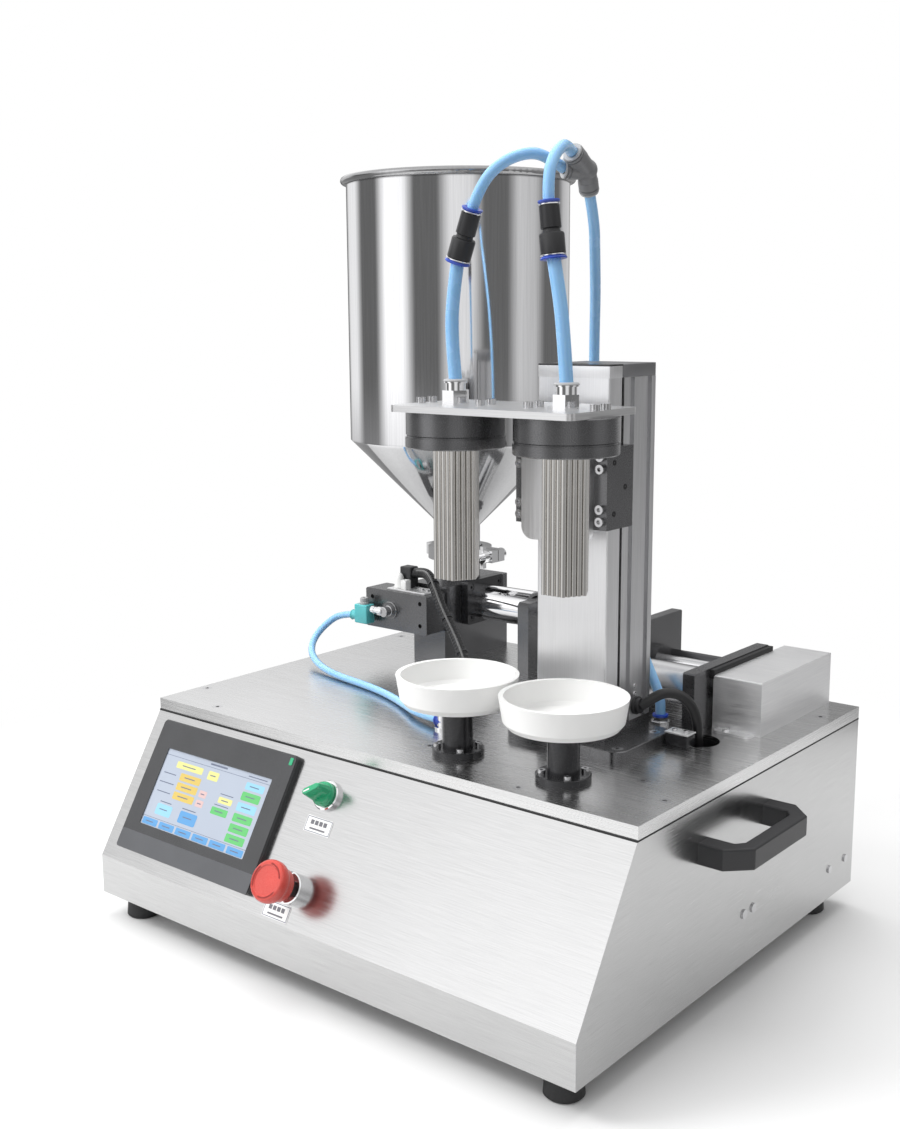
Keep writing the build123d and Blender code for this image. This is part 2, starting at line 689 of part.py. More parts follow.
def head_screws():
    """Screws of the head plate, the carriage and the bracket."""
    group = [cap_screw(Pos(x, y, plate_high), head_screw_r, 4.25, 5, 14) for x, y in head_screws_at]
    for x, h in carriage_screws_at:
        place = Pos(column_x + x, carriage_front, deck_top + h) * Rot(90, 0, 0)
        group.append(cap_screw(place, head_screw_r, 4.25, 4, 9))
    return group


keep("column_plate", column_plate())
keep("column_profile", column_profile())
keep("column_cover", column_cover())
keep("column_cap", column_cap())
keep("lift_screw", lift_screw())
keep("carriage", carriage())
keep("carriage_bracket", carriage_bracket())
keep("head_screws", *head_screws())


# ---------------------------------------------------------------- hopper and valve
valve_top = deck_top + valve_high
clamp_z = deck_top + joint_z
clamp_bolt_x = hopper_x + clamp_r + clamp_bolt_reach


def hopper():
    rim, waist = on_deck((hopper_rim_z, hopper_waist_z))
    neck_top = waist - (hopper_r - neck_r)
    low = clamp_z
    w = hopper_wall
    points = [(neck_r, low), (ferrule_r, low), (ferrule_r, low + ferrule_thick),
              (neck_r, low + ferrule_thick + 2),
              (neck_r, neck_top), (hopper_r, waist), (hopper_r, rim), (hopper_r - w, rim),
              (hopper_r - w, waist + 0.6), (neck_r - w, neck_top + 0.6), (neck_r - w, low)]
    bead = Pos(hopper_x, pump_y, rim) * Torus(hopper_r + rim_bead_r - w, rim_bead_r)
    return turned(points, hopper_x, pump_y) + bead


def clamp_half(side):
    """Half of the pipe clamp, with a wedge groove over the two ferrules."""
    lip = ferrule_r + seat_gap
    z0, z1 = clamp_z - clamp_half_h, clamp_z + clamp_half_h
    t = ferrule_thick + seat_gap
    points = [(neck_r + 3, z0), (clamp_r, z0), (clamp_r, z1), (neck_r + 3, z1), (neck_r + 3, clamp_z + t + 2),
              (lip, clamp_z + t), (lip, clamp_z - t), (neck_r + 3, clamp_z - t - 2)]
    ring = turned(points, hopper_x, pump_y)
    ear = block((hopper_x + clamp_r - 2, clamp_bolt_x + clamp_ear_wall),
                (pump_y - clamp_ear_half, pump_y + clamp_ear_half), (z0, z1))
    ear -= bar_y(clamp_bolt_x, clamp_z, clamp_bolt_r + fit, pump_y - clamp_ear_half - 1,
                 pump_y + clamp_ear_half + 1)
    lug = block((hopper_x - clamp_r - 8, hopper_x - clamp_r + 2), (pump_y - 8, pump_y + 8), (z0, z1))
    near, far = sorted((pump_y + side * 0.5, pump_y + side * 60))
    return (ring + ear + lug) & block((hopper_x - 80, hopper_x + 80), (near, far), (z0 - 1, z1 + 1))


def wing_nut():
    """Wing nut on the clamp's bolt, turned by hand about y."""
    y = pump_y - clamp_ear_half - seat_gap
    nut = bar_y(clamp_bolt_x, clamp_z, wing_nut_r, y - wing_nut_long, y)
    for side in (-1, 1):
        a, b = sorted((clamp_z + side * wing_thick, clamp_z + side * wing_half))
        nut += block((clamp_bolt_x - wing_thick / 2, clamp_bolt_x + wing_thick / 2), (y - 9, y - 3), (a, b))
    return nut - bar_y(clamp_bolt_x, clamp_z, clamp_bolt_r + fit, y - wing_nut_long - 1, y + 1)


def clamp_bolt():
    front = pump_y - clamp_ear_half - seat_gap - wing_nut_long - 6
    back = pump_y + clamp_ear_half
    return (bar_y(clamp_bolt_x, clamp_z, clamp_bolt_r, front, back)
            + bar_y(clamp_bolt_x, clamp_z, wing_nut_r, back, back + 5))


def valve_body():
    """Three-way valve: hopper above, pump barrel to the right, outlet at the left."""
    low = deck_top + support_high
    body = block(valve_x, valve_y, (low, valve_top))
    body = chamfer(body.edges().filter_by(Axis.Z), 2.0)
    body += bar_z(hopper_x, pump_y, neck_r, valve_top, clamp_z - ferrule_thick)
    body += bar_z(hopper_x, pump_y, ferrule_r, clamp_z - ferrule_thick, clamp_z)
    z = deck_top + barrel_z
    body -= bar_y(hopper_x, z, rotor_r + fit, valve_y[0] - 1, pump_y + 40)
    body -= bar_z(hopper_x, pump_y, neck_r - hopper_wall - 6, z, clamp_z + 1)
    body -= bar_x(pump_y, z, port_r, hopper_x, valve_x[1] + 1)
    return body


def valve_rotor():
    z = deck_top + barrel_z
    rotor = bar_y(hopper_x, z, rotor_r, valve_y[0] - 0.15, pump_y + 39)
    return rotor - bar_z(hopper_x, pump_y, port_r, z, z + rotor_r + 1) - bar_x(pump_y, z, port_r, hopper_x,
                                                                              hopper_x + rotor_r + 1)


def valve_actuator():
    """Air-driven rotary actuator that turns the valve."""
    body = block(actuator_x, actuator_y, on_deck(actuator_z))
    body = chamfer(body.edges().filter_by(Axis.Y), 1.5)
    z = deck_top + (actuator_z[0] + actuator_z[1]) / 2
    body += bar_y(actuator_port_x, z, actuator_port_r, actuator_y[0] - actuator_port_long, actuator_y[0])
    for x in (actuator_x[0] + 10, actuator_x[1] - 10):
        for dz in (-13, 13):
            body -= bar_y(x, z + dz, 2.6, actuator_y[0] - 1, actuator_y[0] + 6)
    return body


def flow_valve():
    """Speed controller on the actuator's port: hub, banjo block, hose port and setting screw."""
    y = actuator_y[0] - actuator_port_long
    z = deck_top + (actuator_z[0] + actuator_z[1]) / 2
    block_x = (air_start[0] + 10, air_start[0] + 30)
    hub = bar_y(actuator_port_x, z, 6, y - 10, y)
    stem = bar_x(y - 7, z, 4.5, block_x[1] - 2, actuator_port_x)
    banjo = block(block_x, (y - 14, y), (z - 19, z + 5))
    port = bar_x(air_start[1], air_start[2], 6, air_start[0], block_x[0])
    knob = bar_z(sum(block_x) / 2, y - 7, 4, z + 5, z + 13)
    return hub + stem + banjo + port + knob


def air_fittings():
    """Flow valve and sensor plug on the actuator, deck fittings of both hoses and the cable's gland."""
    ex, ey, ez = air_end
    elbow = bar_z(ex + 8, ey, 6, deck_top, ez + 8) + bar_x(ey, ez, 6, ex, ex + 10)
    sx, sy, sz = supply_end
    bulkhead = hexagon_bar(18, deck_top, deck_top + 8, sx, sy) + bar_z(sx, sy, 8, deck_top + 8, sz)
    bx, by, bz = bundle_route[0]
    plug = block((bx - 16, bx), (by - 7, by + 7), (deck_top + actuator_z[1], bz + 8))
    gx, gy, gz = cable_route[0]
    gland = bar_x(gy, gz, 8, column_x + column_half, gx)
    return [flow_valve(), elbow, bulkhead, plug, gland]


def flange_plate():
    x = (valve_x[1], valve_x[1] + flange_thick)
    plate = block(x, (pump_y - flange_half, pump_y + flange_half), on_deck(flange_z))
    plate = fillet(plate.edges().filter_by(Axis.X), 4.0)
    z = deck_top + barrel_z
    plate -= bar_x(pump_y, z, port_r, x[0] - 1, x[1] + 1)
    for dy in (-1, 1):
        for h in (flange_z[0] + 8, flange_z[1] - 8):
            spot = Pos(x[1], pump_y + dy * (flange_half - 8), deck_top + h) * Rot(0, 90, 0)
            plate -= spot * Cylinder(4.4, 8)
            plate += cap_screw(spot * Pos(0, 0, -4), 2.5, 4, 3.5, 4)
    return plate


keep("hopper", hopper())
keep("hopper_clamp", clamp_half(-1), clamp_half(1), clamp_bolt())
keep("wing_nut", wing_nut())
keep("valve_body", valve_body())
keep("valve_rotor", valve_rotor())
keep("valve_actuator", valve_actuator())
support_y = (valve_y[0] - support_past_valve[0], valve_y[1] + support_past_valve[1])
keep("support_block", block(support_x, support_y, on_deck((0, support_high))))
keep("flange_plate", flange_plate())


# ---------------------------------------------------------------- piston pump and drive
def barrel():
    z = deck_top + barrel_z
    tube = bar_x(pump_y, z, barrel_r, valve_x[1] + flange_thick, saddle_x[0])
    return tube - bar_x(pump_y, z, barrel_bore_r, valve_x[1], saddle_x[1])


def saddle_plate():
    plate = block(saddle_x, (pump_y - flange_half, pump_y + flange_half), on_deck((0, saddle_top)))
    plate = chamfer(plate.edges().filter_by(Axis.X).group_by(Axis.Z)[-1], 3.0)
    return plate - bar_x(pump_y, deck_top + barrel_z, rod_r + fit, saddle_x[0] - 1, saddle_x[1] + 1)


def piston():
    z = deck_top + barrel_z
    left = valve_x[1] + flange_thick + port_clearance + piston_stroke
    right = left + piston_long
    head = bar_x(pump_y, z, barrel_bore_r - fit, left, right)
    for x in (left + 6, left + 14):
        ring = bar_x(pump_y, z, barrel_bore_r, x, x + 3) - bar_x(pump_y, z, barrel_bore_r - 2, x - 1, x + 4)
        head -= ring
    return head + bar_x(pump_y, z, rod_r, right, crosshead_x[0])


def crosshead():
    plate = block(crosshead_x, crosshead_y, on_deck(crosshead_z))
    plate = chamfer(plate.edges().filter_by(Axis.X), 1.5)
    plate -= bar_x(pump_y, deck_top + screw_z, nut_r, crosshead_x[0] - 1, crosshead_x[1] + 1)
    for side in (-1, 1):
        plate -= bar_x(pump_y + side * guide_dy, deck_top + guide_z, guide_r + fit,
                       crosshead_x[0] - 1, crosshead_x[1] + 1)
    return plate


nut_r = 11.0


def drive_nut():
    z = deck_top + screw_z
    nut = bar_x(pump_y, z, nut_r, crosshead_x[0] - 14, crosshead_x[1])
    nut += bar_x(pump_y, z, nut_r + 6, crosshead_x[1], crosshead_x[1] + 8)
    return nut - bar_x(pump_y, z, screw_r + fit, crosshead_x[0] - 15, crosshead_x[1] + 9)


def guide_rod(side):
    return bar_x(pump_y + side * guide_dy, deck_top + guide_z, guide_r, guide_left, drive_plate_x[1])


def drive_plate():
    plate = block(drive_plate_x, drive_plate_y, on_deck((0, drive_plate_high)))
    plate = chamfer(plate.edges().filter_by(Axis.X), 1.5)
    left, right = drive_plate_x[0] - 1, drive_plate_x[1] + 1
    plate -= bar_x(pump_y, deck_top + screw_z, screw_r + fit, left, right)
    plate -= bar_x(drive_motor_y, deck_top + screw_z, 3 + fit, left, right)
    for side in (-1, 1):
        plate -= bar_x(pump_y + side * guide_dy, deck_top + guide_z, guide_r, left, right)
    return plate


def drive_screw():
    """Lead screw with its belt pulley."""
    z = deck_top + screw_z
    left, right = pulley_x
    screw = bar_x(pump_y, z, screw_r, guide_left, right + 4)
    return screw + bar_x(pump_y, z, screw_pulley_r, left, right)


def motor_pulley():
    z = deck_top + screw_z
    left, right = pulley_x
    return bar_x(drive_motor_y, z, motor_pulley_r, left, right) + bar_x(drive_motor_y, z, 3,
                                                                        drive_plate_x[0] - 10, right)


def drive_motor():
    z = deck_top + screw_z
    body = bar_x(drive_motor_y, z, drive_motor_r, drive_motor_left, drive_plate_x[0])
    body = chamfer(body.edges().filter_by(GeomType.CIRCLE), 1.2)
    return body - bar_x(drive_motor_y, z, 3 + fit, drive_plate_x[0] - 11, drive_plate_x[0] + 1)


def drive_belt():
    """Flat loop round the two pulleys, a little off both."""
    left, right = pulley_x[0] + 1.5, pulley_x[1] - 1.5
    z = deck_top + screw_z

    def loop(extra):
        ends = (Pos(drive_motor_y, z) * Circle(motor_pulley_r + extra)
                + Pos(pump_y, z) * Circle(screw_pulley_r + extra))
        return make_hull(ends.edges())

    inner, outer = loop(seat_gap), loop(seat_gap + belt_thick)
    band = Plane.YZ.offset(left) * (outer - inner)
    return extrude(band, right - left)


def belt_cover():
    """Folded sheet box over the belt, open to the left and below, with a screwed foot in front."""
    cover = block(cover_x, cover_y, on_deck((0, cover_high)))
    cover = fillet(cover.edges().filter_by(Axis.X).group_by(Axis.Z)[-1], 1.5)
    inside = [(a + cover_sheet, b - cover_sheet) for a, b in (cover_x, cover_y)]
    cover -= block((cover_x[0] - 1, inside[0][1]), inside[1], on_deck((-1, cover_high - cover_sheet)))
    middle = sum(cover_x) / 2
    foot = block((middle - 20, middle + 20), (cover_y[0] - 12, cover_y[0] + cover_sheet), on_deck((0, 2)))
    foot = fillet(foot.edges().filter_by(Axis.Z).group_by(Axis.Y)[0], 6.0)
    screw = cap_screw(Pos(middle - 8, cover_y[0] - 6, deck_top + 2), 1.5, 3.5, 2, 2)
    return cover + foot + screw


keep("barrel", barrel())
keep("saddle_plate", saddle_plate())
keep("piston", piston())
keep("crosshead", crosshead(), drive_nut())
keep("guide_rods", guide_rod(-1), guide_rod(1))
keep("drive_plate", drive_plate())
keep("drive_screw", drive_screw())
keep("motor_pulley", motor_pulley())
keep("motors", *[deck_motor(x, table_y, table_shaft_r) for x in table_x],
     deck_motor(column_x, lift_screw_y, lift_screw_r), drive_motor())
keep("drive_belt", drive_belt())
keep("belt_cover", belt_cover())


# ---------------------------------------------------------------- hoses and cables
# Each route is a list chosen by hand, in the same frame as the pieces above.
z_fit = deck_top + fitting_top
union_left = ((71.0, 56.0, 665.0), (88.0, 56.0, 710.0))
union_right = ((174.0, 56.0, 665.0), (168.5, 56.0, 712.0))
lower_left_route = [(68, 56, z_fit), (64, 56, 596), (64.5, 56, 631), union_left[0]]
lower_right_route = [(188, 56, z_fit), (185, 56, 597), (181, 56, 632), union_right[0]]
air_start = (-256.0, 255.0, deck_top + 53)
air_end = (2.0, 104.0, deck_top + 8)
air_route = [air_start, (-275, 253, 268), (-288, 243, 257), (-291, 226, 244), (-280, 207, 233),
             (-258, 192, 226), (-230, 180, 222.5), (-198, 171, 221.4), (-164, 165, 221.3), (-128, 157, 221.3),
             (-94, 145, 221.4), (-62, 129, 222), (-30, 110, 224), air_end]
bundle_route = [(-190, 292, 322), (-172, 288, 326), (-153, 277, 324), (-136, 265, 315), (-122, 257, 301),
                (-108, 251, 287), (-93, 245, 274), (-77, 236, 262), (-63, 228, 249), (-52, 220, 235),
                (-45, 214.5, 220), (-43.5, 213.5, 206)]
cable_route = [(184, 190, 252), (193, 196, 260), (201, 205, 265), (212, 214, 263), (221, 221, 253),
               (225, 225, 239), (226, 226, 222), (226, 227, 207)]
supply_end = (176.0, 240.0, deck_top + 14)


def tube_union(ends, big_r, small_r):
    """A reducing push-in union with a release collar at each end."""
    a, b = Vector(*ends[0]), Vector(*ends[1])
    length = (b - a).length
    place = Plane(a, z_dir=b - a).location
    profile = [(0, 0), (big_r + 1, 0), (big_r + 1, 3), (big_r, 3), (big_r, 0.5 * length - 1),
               (small_r + 0.2, 0.5 * length + 2), (small_r + 0.2, length - 3), (small_r + 1, length - 3),
               (small_r + 1, length), (0, length)]
    return place * turned(profile, 0, 0)


keep("hose_lower_left", hose("hose_lower_left", lower_left_route, lower_hose_d))
keep("hose_lower_right", hose("hose_lower_right", lower_right_route, lower_hose_d))

y_left_port = (137.0, 122.0, 745.0)
y_right_port = (150.0, 116.0, 757.0)
y_centre = (149.0, 140.0, 744.0)
y_bottom = (144.0, 152.0, 726.0)


def y_fitting():
    """Push-in Y: two outlets to the heads and one inlet from the pump."""
    centre = Vector(*y_centre)
    body = Pos(*y_centre) * Sphere(10.5)
    for port, r in ((y_left_port, 9.5), (y_right_port, 9.5), (y_bottom, 9.0)):
        end = Vector(*port)
        length = (centre - end).length
        body += Plane(end, z_dir=centre - end).location * Pos(0, 0, length / 2) * Cylinder(r, length)
    return body


keep("hose_fittings", tube_union(union_left, 11, 9), tube_union(union_right, 11, 9), y_fitting())
upper_left_route = [union_left[1], (97, 57, 731), (114, 66, 749), (128, 88, 757), (134, 106, 752),
                    y_left_port]
upper_right_route = [union_right[1], (167, 57, 731), (164, 68, 748), (160, 86, 759), (155, 101, 761),
                     y_right_port]
supply_route = [y_bottom, (141, 165, 702), (128, 186, 677), (112, 212, 640), (98, 232, 590), (93, 240, 540),
                (97, 242, 485), (107, 242, 430), (121, 242, 375), (137, 242, 325), (157, 241, 283),
                (171, 240, 258), (176, 240, 245), supply_end]
keep("hose_upper_left", hose("hose_upper_left", upper_left_route, upper_hose_d))
keep("hose_upper_right", hose("hose_upper_right", upper_right_route, upper_hose_d))
keep("supply_hose", hose("supply_hose", supply_route, upper_hose_d))
keep("air_fittings", *air_fittings())
keep("air_hose", hose("air_hose", air_route, air_hose_d))
keep("cable_bundle", hose("cable_bundle", bundle_route, bundle_d))
keep("drive_cable", hose("drive_cable", cable_route, drive_cable_d))

cord_nodes = ("hose_lower_left", "hose_lower_right", "hose_upper_left", "hose_upper_right", "supply_hose",
              "air_hose", "cable_bundle", "drive_cable")


# ---------------------------------------------------------------- placing and writing
def middle_y():
    """The middle of the machine, from front to back, without its hoses and cables."""
    boxes = [s.bounding_box() for name, group in nodes.items() if name not in cord_nodes for s in group]
    return (min(b.min.Y for b in boxes) + max(b.max.Y for b in boxes)) / 2


shift_y = -middle_y()
print("shift_y", shift_y)
for name, group in nodes.items():
    placed = [Pos(0, shift_y, 0) * s for shape in group for s in shape.solids()]
    export_step(placed[0] if len(placed) == 1 else Compound(placed), f"parts/{name}.step")
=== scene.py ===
"""Looks of the two-head piston filler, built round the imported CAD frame. Metres, +Z up."""
import math

import bmesh
import bpy
from mathutils import Matrix, Vector


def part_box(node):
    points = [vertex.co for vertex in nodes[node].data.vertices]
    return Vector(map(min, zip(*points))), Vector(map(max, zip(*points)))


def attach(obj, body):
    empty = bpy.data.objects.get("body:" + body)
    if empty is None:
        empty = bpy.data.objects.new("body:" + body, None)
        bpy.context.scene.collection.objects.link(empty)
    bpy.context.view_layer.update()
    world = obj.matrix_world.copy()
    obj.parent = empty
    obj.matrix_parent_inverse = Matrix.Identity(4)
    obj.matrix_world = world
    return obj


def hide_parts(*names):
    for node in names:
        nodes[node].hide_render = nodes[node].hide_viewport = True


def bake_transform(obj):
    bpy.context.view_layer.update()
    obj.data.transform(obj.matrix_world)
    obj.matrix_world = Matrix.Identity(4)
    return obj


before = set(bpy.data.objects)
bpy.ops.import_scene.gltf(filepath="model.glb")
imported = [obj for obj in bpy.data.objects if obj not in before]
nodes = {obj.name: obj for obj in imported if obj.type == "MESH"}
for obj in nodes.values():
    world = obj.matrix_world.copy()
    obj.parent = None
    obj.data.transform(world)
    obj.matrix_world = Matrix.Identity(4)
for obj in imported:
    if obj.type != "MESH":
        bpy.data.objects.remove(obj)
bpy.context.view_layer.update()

# ------------------------------------------------------------------ places taken from the frame
DECK_LOW, DECK_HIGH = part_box("deck_plate")
SHELL_LOW, SHELL_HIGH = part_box("cabinet_shell")
FRONT = DECK_LOW.y            # the deck's front edge, y = 0 in the design
TOP = DECK_HIGH.z             # the deck's top
UNDER = DECK_LOW.z
PANEL_RISE = 0.139
MM = 0.001


def place(x, y, z):
    """A point of the design, given in metres from the deck's front edge and the table top."""
    return Vector((x, y + FRONT, z))


PANEL_RUN = FRONT - SHELL_LOW.y
PANEL_OUT = Vector((0, -PANEL_RISE, PANEL_RUN)).normalized()
PANEL_UP = Vector((0, PANEL_OUT.z, -PANEL_OUT.y))
PANEL = Matrix.LocRotScale(Vector((0, FRONT, UNDER)), Matrix((
    (1, 0, 0), (0, PANEL_UP.y, PANEL_OUT.y), (0, PANEL_UP.z, PANEL_OUT.z))), None)


def on_panel(x, s, h):
    """A frame on the sloping panel: x across, s down the slope, h out of it."""
    return PANEL @ Matrix.Translation((x, -s, h))


# ------------------------------------------------------------------ shader nodes
MIDDLE = (0.3, 0.7)           # where most of a noise's values lie


def feed(tree, target, *inputs):
    """Sets or links a node's inputs, given as (slot, value or socket) pairs."""
    for slot, value in inputs:
        if isinstance(value, bpy.types.NodeSocket):
            tree.links.new(value, target.inputs[slot])
        else:
            target.inputs[slot].default_value = value


def node(tree, kind, *inputs, **settings):
    """Adds a shader node with its settings and inputs."""
    made = tree.nodes.new("ShaderNode" + kind)
    for key, value in settings.items():
        setattr(made, key, value)
    feed(tree, made, *inputs)
    return made


def new_material(name):
    """A new material, its node tree and its surface shader."""
    m = bpy.data.materials.new(name)
    m.use_nodes = True
    return m, m.node_tree, m.node_tree.nodes["Principled BSDF"]


def noise(tree, scale, detail=3.0, rough=0.5, stretch=(1, 1, 1)):
    """Noise in object coordinates, which are scaled along each axis by stretch."""
    here = node(tree, "Mapping", ("Vector", node(tree, "TexCoord").outputs["Object"]), ("Scale", stretch))
    return node(tree, "TexNoise", ("Vector", here.outputs["Vector"]), ("Scale", scale), ("Detail", detail),
                ("Roughness", rough)).outputs["Fac"]


def spread(tree, value, low, high, from_low=0.0, from_high=1.0):
    """The value moved from one range to another."""
    return node(tree, "MapRange", ("Value", value), ("From Min", from_low), ("From Max", from_high),
                ("To Min", low), ("To Max", high)).outputs["Result"]


def mixed(tree, fac, a, b, **settings):
    """A mix of two colours, each a value or a socket."""
    return node(tree, "Mix", (0, fac), (6, a), (7, b), data_type="RGBA", **settings).outputs[2]


def clouded(tree, fac, colour, share):
    """A colour that dims to a share of itself where fac is low."""
    return mixed(tree, fac, (*(c * share for c in colour), 1), (*colour, 1))


def ramp(tree, fac, stops, interpolation="LINEAR"):
    """A colour ramp through (position, colour) stops."""
    bands = node(tree, "ValToRGB", ("Fac", fac))
    bands.color_ramp.interpolation = interpolation
    elements = bands.color_ramp.elements
    while len(elements) < len(stops):
        elements.new(0.5)
    for element, (position, colour) in zip(elements, stops):
        element.position = position
        element.color = (*colour, 1)
    return bands.outputs["Color"]


def bump(tree, bsdf, height, strength, distance):
    made = node(tree, "Bump", ("Strength", strength), ("Distance", distance), ("Height", height))
    feed(tree, bsdf, ("Normal", made.outputs["Normal"]))


# ------------------------------------------------------------------ materials
def brushed_steel(name, dark, light, rough, grain="x", strength=0.05, fine=900.0):
    """Brushed sheet or drawn bar, with a fine grain along an axis; an x grain turns to y on side faces."""
    m, tree, bsdf = new_material(name)
    streaks = {"x": (0.02, 1, 1), "y": (1, 0.02, 1), "z": (1, 1, 0.02)}
    main = noise(tree, fine, 4.0, 0.6, streaks[grain])
    if grain == "x":
        normal = node(tree, "NewGeometry").outputs["True Normal"]
        across = node(tree, "SeparateXYZ", (0, normal)).outputs["X"]
        size = node(tree, "Math", (0, across), operation="ABSOLUTE").outputs[0]
        on_side = node(tree, "Math", (0, size), (1, 0.7), operation="GREATER_THAN").outputs[0]
        side = noise(tree, fine, 4.0, 0.6, streaks["y"])
        main = node(tree, "Mix", (0, on_side), (2, main), (3, side)).outputs[0]
    streaky = spread(tree, main, 0.8 * rough, 1.2 * rough, *MIDDLE)
    cloudy = spread(tree, noise(tree, 6.0, 2.0), -0.1 * rough, 0.1 * rough, *MIDDLE)
    feed(tree, bsdf, ("Base Color", mixed(tree, spread(tree, main, 0, 1, *MIDDLE), (*dark, 1), (*light, 1))),
         ("Roughness", node(tree, "Math", (0, streaky), (1, cloudy), operation="ADD").outputs[0]),
         ("Metallic", 1.0))
    bump(tree, bsdf, main, strength, 0.0002)
    return m


def plain_metal(name, colour, rough):
    """Turned or polished metal: slight clouding of colour and gloss."""
    m, tree, bsdf = new_material(name)
    spots = noise(tree, 60.0, 4.0)
    feed(tree, bsdf, ("Base Color", clouded(tree, spots, colour, 0.96)),
         ("Roughness", spread(tree, spots, rough - 0.03, rough + 0.05, *MIDDLE)), ("Metallic", 1.0))
    bump(tree, bsdf, noise(tree, 1500.0, 2.0), 0.03, 0.0001)
    return m


def moulded(name, colour, rough, grain=1200.0, strength=0.12, coat=0.0, metallic=0.0, vary=0.15, sss=0.0):
    """Moulded, painted or anodised surface with a fine grain."""
    m, tree, bsdf = new_material(name)
    fine = noise(tree, grain, 2.0)
    cloud = spread(tree, noise(tree, 25.0), 0, 1, *MIDDLE)
    feed(tree, bsdf, ("Base Color", clouded(tree, cloud, colour, 1 - vary)),
         ("Roughness", spread(tree, fine, rough - 0.05, rough + 0.05, *MIDDLE)), ("Metallic", metallic),
         ("Coat Weight", coat), ("Coat Roughness", 0.12), ("Subsurface Weight", sss),
         ("Subsurface Radius", (0.004, 0.004, 0.004)))
    bump(tree, bsdf, fine, strength, 0.0001)
    return m


def hose_material():
    """Soft blue polyurethane tube, slightly cloudy and translucent."""
    m, tree, bsdf = new_material("blue_hose")
    cloud = noise(tree, 35.0)
    feed(tree, bsdf, ("Base Color", mixed(tree, cloud, (0.22, 0.47, 0.77, 1), (0.31, 0.56, 0.84, 1))),
         ("Roughness", spread(tree, cloud, 0.20, 0.30, *MIDDLE)), ("Subsurface Weight", 0.35),
         ("Subsurface Radius", (0.002, 0.003, 0.005)), ("Coat Weight", 0.35), ("Coat Roughness", 0.1))
    bump(tree, bsdf, noise(tree, 400.0, 2.0), 0.04, 0.0001)
    return m


def screen_colour(name, colour, glow):
    """A lit area of the touch screen."""
    m, tree, bsdf = new_material("screen_" + name)
    shade = clouded(tree, noise(tree, 18.0, 1.0), colour, 0.93)
    feed(tree, bsdf, ("Base Color", shade), ("Emission Color", shade), ("Emission Strength", glow),
         ("Roughness", 0.18), ("Coat Weight", 0.6), ("Coat Roughness", 0.05))
    return m


def painted_shade_by_height(material, stops):
    """Painted shade: multiplies the base colour by a level that changes with height, from (z, level) stops.
    """
    tree = material.node_tree
    base = tree.nodes["Principled BSDF"].inputs["Base Color"]
    height = node(tree, "SeparateXYZ", (0, node(tree, "TexCoord").outputs["Object"])).outputs["Z"]
    low, high = stops[0][0], stops[-1][0]
    levels = ramp(tree, spread(tree, height, 0.0, 1.0, low, high),
                  [((z - low) / (high - low), (level, level, level)) for z, level in stops])
    tree.links.new(mixed(tree, 1.0, base.links[0].from_socket, levels, blend_type="MULTIPLY"), base)


def duller_inside(material, axis, share):
    """Less mirror-like where the surface faces the upright axis through a point."""
    tree = material.node_tree
    here = node(tree, "TexCoord").outputs["Object"]
    normal = node(tree, "NewGeometry").outputs["True Normal"]
    out = node(tree, "VectorMath", (0, here), (1, axis), operation="SUBTRACT").outputs[0]
    flat = node(tree, "VectorMath", (0, out), (1, (1, 1, 0)), operation="MULTIPLY").outputs[0]
    facing = node(tree, "VectorMath", (0, flat), (1, normal), operation="DOT_PRODUCT").outputs["Value"]
    feed(tree, tree.nodes["Principled BSDF"], ("Metallic", spread(tree, facing, share, 1.0, -0.001, 0.0)))


STEEL_SHEET = brushed_steel("steel_sheet", (0.49, 0.49, 0.49), (0.59, 0.59, 0.59), 0.22, strength=0.04,
                            fine=1300.0)
STEEL_DECK = brushed_steel("steel_deck", (0.62, 0.62, 0.62), (0.76, 0.76, 0.76), 0.26)
HEAD_STEEL = brushed_steel("head_steel", (0.74, 0.74, 0.75), (0.88, 0.88, 0.88), 0.34)
STEEL_BOX = brushed_steel("steel_box", (0.86, 0.86, 0.87), (0.95, 0.95, 0.95), 0.52, strength=0.03,
                          fine=1300.0)
STEEL_HOPPER = brushed_steel("steel_hopper", (0.74, 0.74, 0.75), (0.84, 0.84, 0.85), 0.075, "z", 0.004, 500.0)
HOPPER_AXIS = place(-0.175, 0.358, 0)
duller_inside(STEEL_HOPPER, HOPPER_AXIS, 0.45)
# Painted shade: the hopper's cone and rim get a darker colour than its wall.
painted_shade_by_height(STEEL_HOPPER, ((0.37, 0.42), (0.44, 0.50), (0.474, 0.62), (0.479, 1.0), (0.7645, 1.0),
                               (0.7655, 0.50), (0.775, 0.50)))      # cone, wall, rim
ALUMINIUM = brushed_steel("aluminium", (0.68, 0.68, 0.69), (0.80, 0.80, 0.81), 0.36, "z", 0.03, 700.0)
ALU_COVER = brushed_steel("aluminium_cover", (0.80, 0.80, 0.81), (0.88, 0.88, 0.89), 0.40, "z", 0.03, 700.0)
CHROME = plain_metal("chrome", (0.86, 0.86, 0.87), 0.08)
STEEL = plain_metal("turned_steel", (0.62, 0.62, 0.63), 0.22)
DARK_STEEL = plain_metal("oxide_steel", (0.10, 0.10, 0.105), 0.30)
NEEDLE = plain_metal("needle_steel", (0.86, 0.84, 0.81), 0.09)
BLACK_METAL = moulded("black_anodised", (0.040, 0.040, 0.043), 0.24, 1800.0, 0.05, coat=0.25, metallic=0.5)
GREY_METAL = moulded("grey_anodised", (0.185, 0.185, 0.19), 0.27, 1800.0, 0.05, metallic=0.85)
CAP_GREY = moulded("cap_grey", (0.30, 0.30, 0.31), 0.34, 1800.0, 0.05, metallic=0.8)
BLACK_PLASTIC = moulded("black_plastic", (0.022, 0.022, 0.024), 0.38, 2200.0, 0.25)
BEZEL_BLACK = moulded("bezel_black", (0.018, 0.019, 0.021), 0.22, 2600.0, 0.08, coat=0.4)
